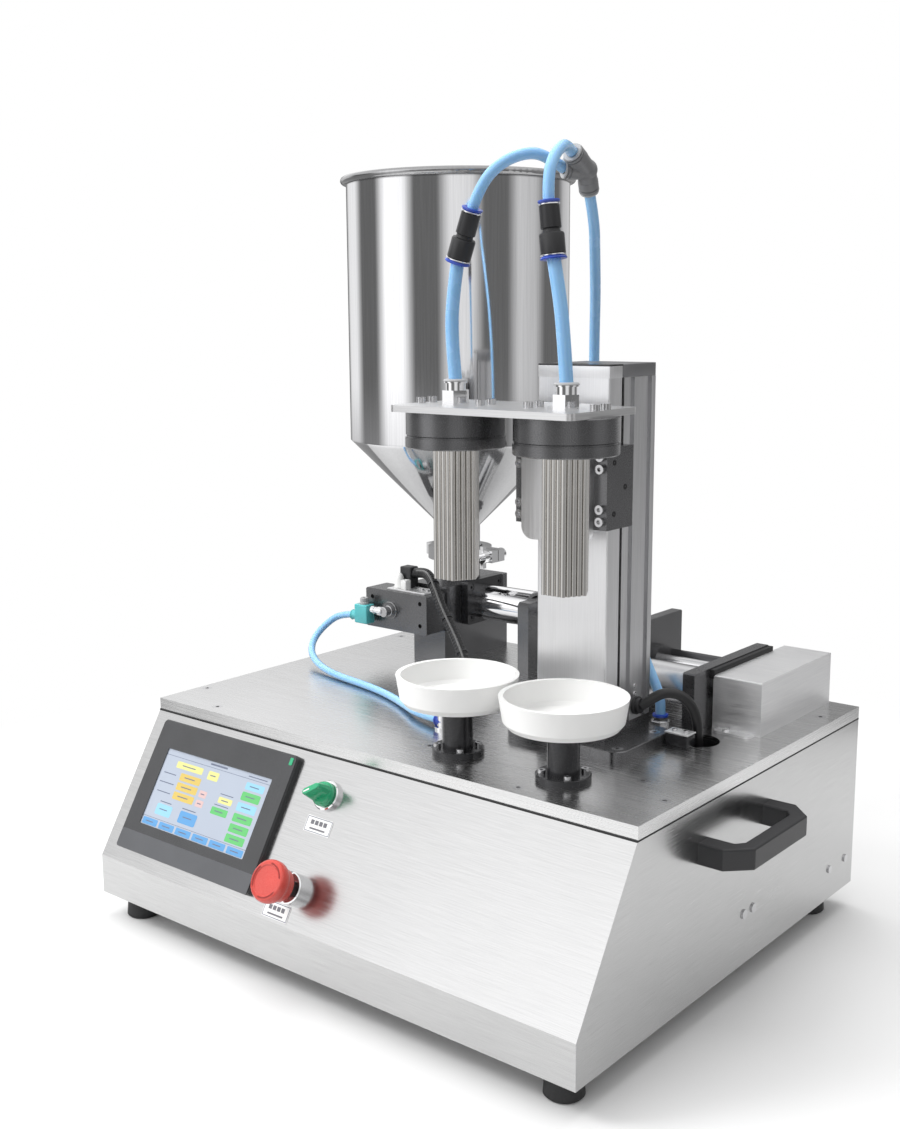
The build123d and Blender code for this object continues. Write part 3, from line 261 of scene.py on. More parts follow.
BEZEL_BAND = moulded("bezel_band", (0.085, 0.088, 0.095), 0.35, 2600.0, 0.10)
GREY_PLASTIC = moulded("grey_plastic", (0.20, 0.20, 0.205), 0.32, 2200.0, 0.12)
LIGHT_GREY = moulded("light_grey_plastic", (0.42, 0.42, 0.425), 0.35, 2200.0, 0.12)
GREEN = moulded("green_plastic", (0.008, 0.34, 0.15), 0.22, 2500.0, 0.06, coat=0.5)
RED = moulded("red_plastic", (0.56, 0.055, 0.04), 0.28, 2500.0, 0.06, coat=0.4, sss=0.1)
TEAL = moulded("teal_plastic", (0.10, 0.50, 0.52), 0.28, 2500.0, 0.06, coat=0.3)
BLUE_RING = moulded("blue_ring", (0.012, 0.055, 0.42), 0.28, 2500.0, 0.06, coat=0.3)
WHITE = moulded("white_nylon", (0.86, 0.86, 0.85), 0.36, 900.0, 0.05, vary=0.03, sss=0.25)
WHITE_PLASTIC = moulded("white_plastic", (0.80, 0.80, 0.79), 0.36, 900.0, 0.05, vary=0.03)
RUBBER_AND_HOLE_SHADE = moulded("rubber", (0.016, 0.016, 0.017), 0.62, 900.0, 0.35)
CABLE = moulded("cable_black", (0.014, 0.014, 0.015), 0.34, 1200.0, 0.15)
CABLE_GREY = moulded("cable_grey", (0.10, 0.10, 0.10), 0.28, 1200.0, 0.10, coat=0.4)
DARK_RED = moulded("dark_red_print", (0.26, 0.016, 0.012), 0.35, 2500.0, 0.05)
MARK_GREY = moulded("mark_grey", (0.16, 0.16, 0.18), 0.4, 2500.0, 0.05)
OVERLAY_GREY = moulded("overlay_grey", (0.026, 0.027, 0.030), 0.24, 3000.0, 0.10, coat=0.5, vary=0.35)
HOSE = hose_material()
SCREEN_BASE = screen_colour("pale", (0.32, 0.36, 0.43), 0.14)
SCREEN_INK = screen_colour("ink", (0.10, 0.12, 0.18), 0.05)
SCREEN_GOLD, SCREEN_GREEN, SCREEN_BLUE, SCREEN_SKY, SCREEN_PINK, SCREEN_YELLOW = (
    screen_colour(name, colour, 0.12) for name, colour in (
        ("gold", (0.52, 0.38, 0.08)), ("green", (0.08, 0.40, 0.11)), ("blue", (0.07, 0.25, 0.50)),
        ("sky", (0.22, 0.46, 0.62)), ("pink", (0.52, 0.36, 0.35)), ("yellow", (0.58, 0.56, 0.20))))


# ------------------------------------------------------------------ the CAD pieces that show
FINISH = {
    "cabinet_shell": STEEL_SHEET, "deck_plate": STEEL_DECK, "cabinet_screws": STEEL, "handles": BLACK_PLASTIC,
    "rubber_feet": RUBBER_AND_HOLE_SHADE, "power_inlet": BLACK_PLASTIC, "hmi_bezel": BEZEL_BLACK, "hmi_screen": SCREEN_BASE,
    "button_bases": CHROME, "selector_knob": GREEN, "estop_plunger": BLACK_PLASTIC, "estop_cap": RED,
    "control_modules": GREY_PLASTIC, "table_flanges": BLACK_METAL, "table_shaft_left": STEEL,
    "table_shaft_right": STEEL, "tray_left": WHITE, "tray_right": WHITE, "motors": STEEL,
    "head_plate": HEAD_STEEL, "nozzle_caps": GREY_METAL, "nozzle_rings": GREY_METAL,
    "nozzle_needles": NEEDLE, "head_fittings": CHROME, "head_screws": STEEL, "column_plate": GREY_METAL,
    "column_profile": ALUMINIUM, "column_cover": ALU_COVER, "column_cap": CAP_GREY, "lift_screw": STEEL,
    "carriage": GREY_METAL, "carriage_bracket": ALU_COVER, "hopper": STEEL_HOPPER, "hopper_clamp": CHROME,
    "wing_nut": CHROME, "valve_body": GREY_METAL, "valve_rotor": STEEL, "valve_actuator": GREY_METAL,
    "support_block": GREY_METAL, "flange_plate": BLACK_METAL, "barrel": CHROME, "saddle_plate": GREY_METAL,
    "piston": CHROME, "crosshead": GREY_METAL, "guide_rods": DARK_STEEL, "drive_plate": GREY_METAL,
    "drive_screw": STEEL, "motor_pulley": STEEL, "drive_belt": RUBBER_AND_HOLE_SHADE, "belt_cover": STEEL_BOX,
    "air_fittings": STEEL, "hose_fittings": GREY_PLASTIC,
}
SMOOTH_ANGLE, FLAT_ANGLE, BLOCK_ANGLE, TUBE_ANGLE = (math.radians(a) for a in (32, 25, 50, 60))
for name, finish in FINISH.items():
    mesh = nodes[name].data
    mesh.materials.clear()
    mesh.materials.append(finish)
    mesh.shade_smooth()
    mesh.set_sharp_from_angle(angle=SMOOTH_ANGLE)


# ------------------------------------------------------------------ mesh helpers
def finish_mesh(name, bm, material, body, replaces=None, smooth=True, angle=SMOOTH_ANGLE):
    """An object made of a bmesh, with its material, body and the node it replaces."""
    mesh = bpy.data.meshes.new(name)
    bmesh.ops.recalc_face_normals(bm, faces=bm.faces)
    bm.to_mesh(mesh)
    bm.free()
    mesh.materials.append(material)
    if smooth:
        mesh.shade_smooth()
        mesh.set_sharp_from_angle(angle=angle)
    obj = bpy.data.objects.new(name, mesh)
    bpy.context.scene.collection.objects.link(obj)
    if body:
        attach(obj, body)
    if replaces:
        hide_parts(replaces)
    return obj


def ring_points(width, height, radius, steps=5):
    """The outline of a rounded rectangle, corner by corner."""
    points = []
    for cx, cy, start in ((1, 1, 0), (-1, 1, 90), (-1, -1, 180), (1, -1, 270)):
        for i in range(steps + 1):
            a = math.radians(start + 90 * i / steps)
            points.append((cx * (width / 2 - radius) + radius * math.cos(a),
                           cy * (height / 2 - radius) + radius * math.sin(a)))
    return points


def skin(bm, rows, closed=True):
    """Quads between rows of points that go round; the ends are closed, or joined to each other."""
    n = len(rows[0])
    for a, b in zip(rows, rows[1:] if closed else rows[1:] + rows[:1]):
        for i in range(n):
            j = (i + 1) % n
            bm.faces.new((a[i], a[j], b[j], b[i]))
    if closed:
        bm.faces.new(rows[0][::-1])
        bm.faces.new(rows[-1])


def turn_point(radius, share, z):
    """The point at a share of a turn round the z axis."""
    angle = 2 * math.pi * share
    return Vector((radius * math.cos(angle), radius * math.sin(angle), z))


def lathe(bm, profile, matrix, steps=48):
    """Turns (radius, height) points about the local z axis; ends at radius 0 are closed."""
    rings = []
    for r, z in profile:
        if r < 1e-7:
            rings.append([bm.verts.new(matrix @ Vector((0, 0, z)))])
        else:
            rings.append([bm.verts.new(matrix @ turn_point(r, i / steps, z)) for i in range(steps)])
    for a, b in zip(rings, rings[1:]):
        for i in range(steps):
            j = (i + 1) % steps
            corners = [a[i % len(a)], a[j % len(a)], b[j % len(b)], b[i % len(b)]]
            distinct = list(dict.fromkeys(corners))
            if len(distinct) > 2:
                bm.faces.new(distinct)


def aim(start, end):
    """A frame at start whose z axis points at end."""
    z = (end - start).normalized()
    return Matrix.Translation(start) @ z.to_track_quat("Z", "Y").to_matrix().to_4x4()


# ------------------------------------------------------------------ hoses and cables
def route(points):
    return [place(*p) for p in points]


def nurbs(name, points, diameter, material=None):
    """A smooth cord whose control points are the route's points."""
    curve = bpy.data.curves.new(name, "CURVE")
    curve.dimensions = "3D"
    curve.resolution_u = 12
    curve.bevel_depth = diameter / 2
    curve.bevel_resolution = 6
    spline = curve.splines.new("NURBS")
    spline.points.add(len(points) - 1)
    for sp, p in zip(spline.points, points):
        sp.co = (*p, 1)
    spline.order_u = 3
    spline.use_endpoint_u = True
    if material:
        curve.materials.append(material)
    obj = bpy.data.objects.new(name, curve)
    bpy.context.scene.collection.objects.link(obj)
    return obj


def centre_line(points, resolution=12):
    """Points of the smooth line that a route's control points make."""
    obj = nurbs("line", points, 0.0)
    obj.data.resolution_u = resolution
    obj.data.bevel_depth = 0
    bpy.context.view_layer.update()
    mesh = bpy.data.meshes.new_from_object(obj)
    line = [v.co.copy() for v in mesh.vertices]
    curve = obj.data
    bpy.data.objects.remove(obj)
    bpy.data.curves.remove(curve)
    bpy.data.meshes.remove(mesh)
    return line


def tube_along(bm, line, radius, steps=20, radius_at=None):
    """A closed tube that follows a line of points without twisting."""
    rings = []
    side = None
    for i, p in enumerate(line):
        ahead = line[min(i + 1, len(line) - 1)] - line[max(i - 1, 0)]
        z = ahead.normalized()
        if side is None:
            side = z.orthogonal().normalized()
        side = (side - z * side.dot(z)).normalized()
        up = z.cross(side)
        r = radius_at(i) if radius_at else radius
        rings.append([bm.verts.new(p + r * (math.cos(2 * math.pi * k / steps) * side
                                            + math.sin(2 * math.pi * k / steps) * up)) for k in range(steps)])
    skin(bm, rings)


UNION_LEFT = (place(0.071, 0.056, 0.665), place(0.088, 0.056, 0.710))
UNION_RIGHT = (place(0.174, 0.056, 0.665), place(0.1685, 0.056, 0.712))
LOWER_D, UPPER_D, AIR_D, BUNDLE_D, DRIVE_D = 0.012, 0.010, 0.008, 0.012, 0.010


def simple_cord(name, points, diameter, body="head", material=HOSE):
    """A hose or cable that rides on one body, in place of the CAD node of its name."""
    line = route(points)
    tube = nurbs(name + "_tube", line, diameter, material)
    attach(tube, body)
    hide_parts(name)


simple_cord("hose_lower_left", [(0.068, 0.056, 0.562), (0.064, 0.056, 0.596), (0.0645, 0.056, 0.631),
                                (0.071, 0.056, 0.665)], LOWER_D)
simple_cord("hose_lower_right", [(0.188, 0.056, 0.562), (0.185, 0.056, 0.597), (0.181, 0.056, 0.632),
                                 (0.174, 0.056, 0.665)], LOWER_D)
simple_cord("hose_upper_left", [(0.088, 0.056, 0.710), (0.097, 0.057, 0.731), (0.114, 0.066, 0.749),
                                (0.128, 0.088, 0.757), (0.134, 0.106, 0.752), (0.137, 0.122, 0.745)],
            UPPER_D)
simple_cord("hose_upper_right", [(0.1685, 0.056, 0.712), (0.167, 0.057, 0.731), (0.164, 0.068, 0.748),
                                 (0.160, 0.086, 0.759), (0.155, 0.101, 0.761), (0.150, 0.116, 0.757)],
            UPPER_D)

SUPPLY = [(0.144, 0.152, 0.726), (0.141, 0.165, 0.702), (0.128, 0.186, 0.677), (0.112, 0.212, 0.640),
          (0.098, 0.232, 0.590), (0.093, 0.240, 0.540), (0.097, 0.242, 0.485), (0.107, 0.242, 0.430),
          (0.121, 0.242, 0.375), (0.137, 0.242, 0.325), (0.157, 0.241, 0.283), (0.171, 0.240, 0.258),
          (0.176, 0.240, 0.245), (0.176, 0.240, 0.231)]
supply_line = centre_line(route(SUPPLY))
bm = bmesh.new()
tube_along(bm, supply_line, UPPER_D / 2)
supply = finish_mesh("supply_hose_tube", bm, HOSE, None, "supply_hose", angle=TUBE_ANGLE)
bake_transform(supply)

AIR = [(-0.256, 0.255, 0.270), (-0.275, 0.253, 0.268), (-0.288, 0.243, 0.257), (-0.291, 0.226, 0.244),
       (-0.280, 0.207, 0.233), (-0.258, 0.192, 0.226), (-0.230, 0.180, 0.2225), (-0.198, 0.171, 0.2214),
       (-0.164, 0.165, 0.2213), (-0.128, 0.157, 0.2213), (-0.094, 0.145, 0.2214), (-0.062, 0.129, 0.222),
       (-0.030, 0.110, 0.224), (0.002, 0.104, 0.225)]
BUNDLE = [(-0.190, 0.292, 0.322), (-0.172, 0.288, 0.326), (-0.153, 0.277, 0.324), (-0.136, 0.265, 0.315),
          (-0.122, 0.257, 0.301), (-0.108, 0.251, 0.287), (-0.093, 0.245, 0.274), (-0.077, 0.236, 0.262),
          (-0.063, 0.228, 0.249), (-0.052, 0.220, 0.235), (-0.045, 0.2145, 0.220), (-0.0435, 0.2135, 0.206)]
DRIVE = [(0.184, 0.190, 0.252), (0.193, 0.196, 0.260), (0.201, 0.205, 0.265), (0.212, 0.214, 0.263),
         (0.221, 0.221, 0.253), (0.225, 0.225, 0.239), (0.226, 0.226, 0.222), (0.226, 0.227, 0.207)]
simple_cord("air_hose", AIR, AIR_D, "frame")
simple_cord("drive_cable", DRIVE, DRIVE_D, "frame", CABLE)


# ------------------------------------------------------------------ hose fittings
def collar_profile(inner, outer, low, high):
    """A ring with rounded edges, for lathe."""
    e = 0.25 * min(high - low, outer - inner)
    return [(inner, low), (outer - e, low), (outer, low + e), (outer, high - e), (outer - e, high),
            (inner, high), (inner, low)]


def turned_piece(name, profile, matrix, material, body, replaces=None, steps=48):
    """A piece turned from (radius, height) points in millimetres."""
    bm = bmesh.new()
    lathe(bm, [(r * MM, z * MM) for r, z in profile], matrix, steps)
    bmesh.ops.remove_doubles(bm, verts=bm.verts, dist=1e-7)
    return finish_mesh(name, bm, material, body, replaces)


def tube_union(side, ends, big, small):
    """Reducing push-in union: ribbed black halves, steel rings and blue release collars."""
    matrix = aim(*ends)
    length = (ends[1] - ends[0]).length / MM
    mid = length / 2
    body = [(0, 3.4), (big - 1, 3.4), (big, 4.2), (big + 0.1, mid - 4), (big - 0.6, mid - 2.6),
            (big - 2.6, mid - 2.0), (small - 1.4, mid - 0.4), (small - 1.4, mid + 0.6),
            (small - 0.1, mid + 1.4), (small, mid + 2.4), (small - 0.2, length - 4.2),
            (small - 1, length - 3.4), (0, length - 3.4)]
    turned_piece(f"union_{side}_body", body, matrix, BLACK_PLASTIC, "head", "hose_fittings")
    for end, low, high, r in (("lower", 2.2, 3.5, big), ("upper", length - 3.5, length - 2.2, small)):
        turned_piece(f"union_{side}_{end}_ring", collar_profile(3, r + 0.5, low, high), matrix, CHROME,
                     "head")
    lower = [(6.1, 0.2), (big - 1.6, -0.6), (big + 0.6, -0.4), (big + 0.9, 0.5), (big - 0.4, 2.3), (6.1, 2.3),
             (6.1, 0.2)]
    upper = [(5.1, length - 0.2), (small - 1.6, length + 0.6), (small + 0.4, length + 0.4),
             (small + 0.7, length - 0.5), (small - 0.6, length - 2.3), (5.1, length - 2.3),
             (5.1, length - 0.2)]
    for end, profile in (("lower", lower), ("upper", upper)):
        turned_piece(f"union_{side}_{end}_collar", profile, matrix, BLUE_RING, "head")


tube_union("left", UNION_LEFT, 10.6, 8.8)
tube_union("right", UNION_RIGHT, 10.6, 8.8)

Y_CENTRE = place(0.149, 0.140, 0.744)
Y_PORTS = {"left": (place(0.137, 0.122, 0.745), 9.4), "right": (place(0.150, 0.116, 0.757), 9.4),
           "inlet": (place(0.144, 0.152, 0.726), 9.0)}


def y_fitting():
    """Push-in Y: three ribbed sockets on a rounded body, with release collars."""
    bm = bmesh.new()
    ball = [(9.6 * math.sin(math.radians(t)), -9.6 * math.cos(math.radians(t))) for t in range(0, 181, 12)]
    ball[0], ball[-1] = (0, -9.6), (0, 9.6)
    lathe(bm, [(r * MM, z * MM) for r, z in ball], Matrix.Translation(Y_CENTRE), 40)
    for name, (port, r) in Y_PORTS.items():
        matrix = aim(Y_CENTRE, port)
        length = (port - Y_CENTRE).length / MM
        socket = [(0, 0), (r - 0.9, 0), (r - 0.4, length - 12.5), (r, length - 12), (r, length - 5.4),
                  (r - 0.8, length - 5.0), (r - 0.8, length - 4.4), (r + 0.1, length - 4.0),
                  (r + 0.1, length - 2.4), (r - 0.8, length - 2.0), (0, length - 2.0)]
        lathe(bm, [(a * MM, b * MM) for a, b in socket], matrix, 40)
        collar = [(5.1, length - 2.0), (r - 1.4, length - 2.0), (r - 0.4, length - 0.6),
                  (r - 0.9, length + 0.4), (r - 2.2, length + 0.6), (5.1, length - 0.2), (5.1, length - 2.0)]
        turned_piece(f"y_{name}_collar", collar, matrix, LIGHT_GREY, "head")
    finish_mesh("y_body", bm, GREY_PLASTIC, "head", "hose_fittings")


y_fitting()
for side, x in (("left", 0.068), ("right", 0.188)):
    lip = [(6.1, 0.4), (10.6, 0.2), (11.0, 0.9), (10.2, 2.0), (8.0, 2.6), (6.1, 2.4), (6.1, 0.4)]
    turned_piece(f"fitting_{side}_collar", lip, Matrix.Translation(place(x, 0.056, TOP + 0.3445)), LIGHT_GREY,
                 "head")


# ------------------------------------------------------------------ touch panel
HMI_X, HMI_S, HMI_OUT = -0.178, 0.079, 0.006
HMI_WIDTH, HMI_HEIGHT = 0.202, 0.139
SCREEN_WIDTH, SCREEN_HEIGHT, SCREEN_S = 0.158, 0.082, 0.0785
OVERLAY = 0.0005


def slab(name, matrix, width, height, thick, radius, material, body, replaces=None):
    """A flat plate with rounded corners."""
    bm = bmesh.new()
    outline = ring_points(width, height, radius)
    skin(bm, [[bm.verts.new(matrix @ Vector((x, y, z))) for x, y in outline] for z in (0, thick)])
    return finish_mesh(name, bm, material, body, replaces, angle=FLAT_ANGLE)


def frame_piece(name, matrix, outer, inner, low, high, material, body, shift=0.0):
    """A flat frame: a rounded rectangle with a rounded window, from low to high."""
    bm = bmesh.new()
    rows = [[bm.verts.new(matrix @ Vector((x, y + dy, z))) for x, y in points]
            for points, dy, z in ((outer, 0, low), (outer, 0, high), (inner, shift, high),
                                  (inner, shift, low))]
    skin(bm, rows, closed=False)
    return finish_mesh(name, bm, material, body, angle=FLAT_ANGLE)


def screen_tile(name, x, y, width, height, material, lift):
    """A lit field of the screen: x and y from its top left corner, in thousandths of its size."""
    cx = HMI_X - SCREEN_WIDTH / 2 + (x + width / 2) * SCREEN_WIDTH / 1000
    cs = SCREEN_S - SCREEN_HEIGHT / 2 + (y + height / 2) * SCREEN_HEIGHT / 1000
    w, h = width * SCREEN_WIDTH / 1000, height * SCREEN_HEIGHT / 1000
    slab(name, on_panel(cx, cs, HMI_OUT - 0.0006 + lift), w, h, 0.0001, min(w, h) * 0.16, material, "frame")


def touch_panel():
    """Overlay with a window, grey lower band, power light and the fields on the screen."""
    face = on_panel(HMI_X, HMI_S, 0)
    frame_piece("panel_overlay", face, ring_points(HMI_WIDTH - 0.0026, HMI_HEIGHT - 0.0026, 0.0032),
                ring_points(SCREEN_WIDTH - 0.001, SCREEN_HEIGHT - 0.001, 0.0012), HMI_OUT - 0.0002,
                HMI_OUT + OVERLAY, OVERLAY_GREY, "frame", shift=HMI_S - SCREEN_S)
    band_s = 0.1385
    slab("panel_band", on_panel(HMI_X, band_s, HMI_OUT + OVERLAY - 0.0001), HMI_WIDTH - 0.003, 0.0195, 0.0003,
         0.0028, BEZEL_BAND, "frame")
    slab("panel_light", on_panel(HMI_X + 0.0945, 0.0165, HMI_OUT + OVERLAY - 0.0001), 0.0042, 0.0075, 0.0006,
         0.0012, GREEN, "frame")
    slab("screen_field", on_panel(HMI_X, SCREEN_S, HMI_OUT - 0.0021), SCREEN_WIDTH, SCREEN_HEIGHT, 0.0016,
         0.001, SCREEN_BASE, "frame", "hmi_screen")
    step = 0.00006
    fields = [("gold", 200, 255, 200, 95, SCREEN_GOLD), ("gold", 200, 375, 200, 95, SCREEN_GOLD),
              ("gold", 200, 495, 200, 95, SCREEN_GOLD), ("pink", 425, 385, 70, 85, SCREEN_PINK),
              ("pink", 425, 505, 70, 85, SCREEN_PINK), ("yellow", 130, 125, 255, 85, SCREEN_YELLOW),
              ("yellow", 440, 125, 100, 110, SCREEN_YELLOW), ("lemon", 610, 385, 125, 75, SCREEN_YELLOW),
              ("lime", 580, 520, 150, 90, SCREEN_GREEN), ("sky", 795, 120, 165, 90, SCREEN_SKY),
              ("lime", 790, 240, 165, 105, SCREEN_GREEN), ("mint", 785, 375, 170, 105, SCREEN_SKY),
              ("lime", 785, 510, 170, 100, SCREEN_GREEN), ("lime", 785, 640, 170, 100, SCREEN_GREEN),
              ("lime", 785, 765, 170, 100, SCREEN_GREEN), ("sky", 95, 690, 150, 140, SCREEN_SKY),
              ("blue", 325, 690, 165, 150, SCREEN_BLUE)]
    fields += [("blue", 15 + 164 * i, 900, 145, 85, SCREEN_BLUE) for i in range(6)]
    for i, (kind, x, y, width, height, material) in enumerate(fields):
        screen_tile(f"screen_{kind}_{i}", x, y, width, height, material, step)
        screen_tile(f"screen_mark_{i}", x + width * 0.22, y + height * 0.42, width * 0.5, 12, SCREEN_INK,
                    2 * step)
    strips = [(0, 78, 1000, 5), (0, 882, 1000, 5), (430, 30, 160, 22), (790, 42, 170, 12), (40, 300, 120, 12),
              (30, 420, 140, 12), (40, 540, 130, 12), (110, 655, 110, 12), (330, 655, 130, 12),
              (610, 345, 120, 10), (590, 485, 130, 10)]
    for i, (x, y, width, height) in enumerate(strips):
        screen_tile(f"screen_strip_{i}", x, y, width, height, SCREEN_INK, step)


touch_panel()


# ------------------------------------------------------------------ labels and buttons
def label(name, x, s, width=0.033, height=0.0155):
    """A small white plate with a printed border and plain marks."""
    thick, line = 0.0004, 0.0006
    slab(name + "_plate", on_panel(x, s, 0), width, height, thick, 0.0006, WHITE_PLASTIC, "frame")
    face = on_panel(x, s, 0)
    outer = ring_points(width - 0.0012, height - 0.0012, 0.0005)
    inner = ring_points(width - 0.0012 - 2 * line, height - 0.0012 - 2 * line, 0.0003)
    frame_piece(name + "_border", face, outer, inner, thick - 0.0001, thick + 0.0001, SCREEN_INK, "frame")
    for i, (dx, ds, w, h) in enumerate(((-0.0085, -0.0022, 0.0042, 0.0042),
                                        (-0.0030, -0.0022, 0.0042, 0.0042),
                                        (0.0025, -0.0022, 0.0042, 0.0042), (0.0080, -0.0022, 0.0042, 0.0042),
                                        (0, 0.0038, 0.020, 0.0016))):
        slab(f"{name}_mark_{i}", on_panel(x + dx, s + ds, thick - 0.0001), w, h, 0.0002, 0.0003, MARK_GREY,
             "frame")


label("selector_label", -0.0275, 0.0665)
label("estop_label", -0.0405, 0.1520)

SELECTOR = (-0.0288, 0.0373)
ESTOP = (-0.0286, 0.1284)


def selector_knob():
    """Lever knob: a ribbed skirt and a grip that narrows to its front edge, with a white pointer."""
    at = on_panel(*SELECTOR, 0)
    skirt = [(0, 5.3), (11.4, 5.3), (12.0, 6.0), (12.0, 8.6), (11.6, 9.2), (11.6, 9.8), (11.0, 11.6),
             (10.2, 12.4), (0, 12.4)]
    turned_piece("selector_skirt", skirt, at, GREEN, "selector", "selector_knob")
    turn = at @ Matrix.Rotation(math.radians(35), 4, "Z")
    bm = bmesh.new()
    low, high = 0.0118, 0.0278
    levels = ((low, 0.0112, 0.0058), (low + 0.006, 0.0110, 0.0046), (high - 0.001, 0.0100, 0.0032),
              (high, 0.0092, 0.0026))
    rows = []
    for z, half, wide in levels:
        outline = [(half, wide * 0.45), (half * 0.72, wide), (-half * 0.72, wide), (-half, wide * 0.45),
                   (-half, -wide * 0.45), (-half * 0.72, -wide), (half * 0.72, -wide), (half, -wide * 0.45)]
        rows.append([bm.verts.new(turn @ Vector((x, y, z))) for x, y in outline])
    skin(bm, rows)
    soften(finish_mesh("selector_grip", bm, GREEN, "selector"), 0.0007, 3)
    slab("selector_pointer", turn @ Matrix.Translation((-0.0045, 0, high - 0.0001)), 0.007, 0.0012, 0.0003,
         0.0004, WHITE_PLASTIC, "selector")


def soften(piece, width, segments=2, angle=35):
    """Rounds the piece's sharp edges."""
    flat = piece.modifiers.new("flat", "DECIMATE")
    flat.decimate_type = "DISSOLVE"
    flat.angle_limit = math.radians(0.5)
    edge = piece.modifiers.new("edge", "BEVEL")
    edge.width = width
    edge.segments = segments
    edge.limit_method = "ANGLE"
    edge.angle_limit = math.radians(angle)
    edge.harden_normals = True
    edge.use_clamp_overlap = True


def estop_head():
    """Red mushroom with a dished face and three turn marks."""
    at = on_panel(*ESTOP, 0)
    h = 41.0
    cap = [(0, h - 0.9), (13.6, h - 0.9), (14.2, h - 0.5), (14.6, h), (17.4, h), (18.6, h - 0.7),
           (19.6, h - 2.4), (20.0, h - 5.0), (19.8, h - 8.6), (19.2, h - 10.6), (17.6, h - 12.2),
           (16.4, h - 13.4), (15.6, h - 21.4), (15.0, h - 22), (7.2, h - 22), (7.2, h - 10), (0, h - 10)]
    turned_piece("estop_mushroom", cap, at, RED, "estop_head", "estop_cap", 72)
    for k in range(3):
        bm = bmesh.new()
        inner, outer, steps = 0.0151, 0.0165, 16
        rows = []
        for z in (h * MM - 0.0001, h * MM + 0.0003):
            for r in (inner, outer):
                rows.append([bm.verts.new(at @ turn_point(r, (120 * k + 20 + 72 * i / steps) / 360, z))
                             for i in range(steps + 1)])
        for a, b in ((rows[0], rows[1]), (rows[1], rows[3]), (rows[3], rows[2]), (rows[2], rows[0])):
            for i in range(steps):
                bm.faces.new((a[i], a[i + 1], b[i + 1], b[i]))
        for i in (0, steps):
            bm.faces.new((rows[0][i], rows[1][i], rows[3][i], rows[2][i]))
        finish_mesh(f"estop_mark_{k}", bm, DARK_RED, "estop_head")


selector_knob()
estop_head()


# ------------------------------------------------------------------ fittings on the pump and the deck
def block_piece(name, low, high, material, edge=0.0006, replaces=None):
    """A block between two corners, its edges rounded."""
    bm = bmesh.new()
    low, high = Vector(low), Vector(high)
    size, centre = high - low, (low + high) / 2
    bmesh.ops.create_cube(bm, size=1.0, matrix=Matrix.Translation(centre) @ Matrix.Diagonal((*size, 1)))
    bmesh.ops.bevel(bm, geom=list(bm.edges), offset=edge, segments=3, profile=0.5, affect="EDGES")
    finish_mesh(name, bm, material, "frame", replaces, angle=BLOCK_ANGLE)


def screw_head(name, at, r, high):
    """A socket screw's head with its hexagon recess, standing along the frame's z axis."""
    bm = bmesh.new()
    steps = 36
    levels = [(r, 0), (r, high - 0.15 * r), (r - 0.15 * r, high), (0.55 * r, high)]
    rows = [[bm.verts.new(at @ turn_point(q, i / steps, z)) for i in range(steps)] for q, z in levels]

    def hexagon(i):
        """Radius of a hexagon at the i-th step."""
        a = (2 * math.pi * i / steps) % (math.pi / 3) - math.pi / 6
        return 0.46 * r / math.cos(a)
    for z in (high - 0.02 * r, 0.35 * high):
        rows.append([bm.verts.new(at @ turn_point(hexagon(i), i / steps, z)) for i in range(steps)])
    skin(bm, rows)
    finish_mesh(name, bm, STEEL, "frame")


def towards(point, direction):
    """A frame at a point whose z axis runs along a direction."""
    return aim(point, point + Vector(direction))


ACTUATOR_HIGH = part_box("valve_actuator")[1]
PORT = place(-0.205, 0.262, TOP + 0.063)


def flow_valve():
    """Steel port stub, banjo and knurled nut, teal block with its setting screw, and the hose's collar."""
    out = towards(PORT, (0, -1, 0))
    washer = [(0, -3.8), (9.6, -3.8), (10.2, -3.2), (10.2, -1.6), (9.6, -1.0), (0, -1.0)]
    turned_piece("port_washer", washer, out, CHROME, "frame", "air_fittings")
    stub = [(0, -1), (6.2, -1), (6.2, 1.0), (5.6, 1.4), (5.6, 5.5), (6.0, 6.0), (6.0, 9.6), (5.2, 10.4),
            (0, 10.4)]
    turned_piece("port_stub", stub, out, STEEL, "frame")
    left = towards(PORT + Vector((-0.002, -0.007, 0)), (-1, 0, 0))
    nut = [(0, 0), (4.6, 0), (5.4, 0.8), (5.4, 6.6), (4.4, 7.4), (4.4, 12), (5.0, 12.6), (5.0, 17), (4.2, 18),
           (3.6, 21), (0, 21)]
    turned_piece("port_nut", nut, left, CHROME, "frame", steps=24)
    body_low = place(-0.2462, 0.247, TOP + 0.046)
    body_high = place(-0.2262, 0.2612, TOP + 0.0685)
    block_piece("flow_block", body_low, body_high, TEAL, 0.0014)
    top = towards(Vector(((body_low.x + body_high.x) / 2, (body_low.y + body_high.y) / 2, body_high.z)),
                  (0, 0, 1))
    screw = [(0, -0.2), (5.6, -0.2), (5.6, 2.0), (4.9, 2.6), (4.9, 7.0), (4.3, 7.8), (2.2, 7.8), (2.2, 6.6),
             (0, 6.6)]
    turned_piece("flow_screw", screw, top, LIGHT_GREY, "frame", steps=20)
    exit_point = place(-0.256, 0.255, 0.270)
    collar = [(4.1, -0.6), (5.6, -0.4), (6.2, 0.4), (5.4, 2.2), (5.8, 2.8), (5.8, 10.6), (4.1, 10.6),
              (4.1, -0.6)]
    turned_piece("flow_collar", collar, towards(exit_point, (1, 0.05, 0.05)), TEAL, "frame")


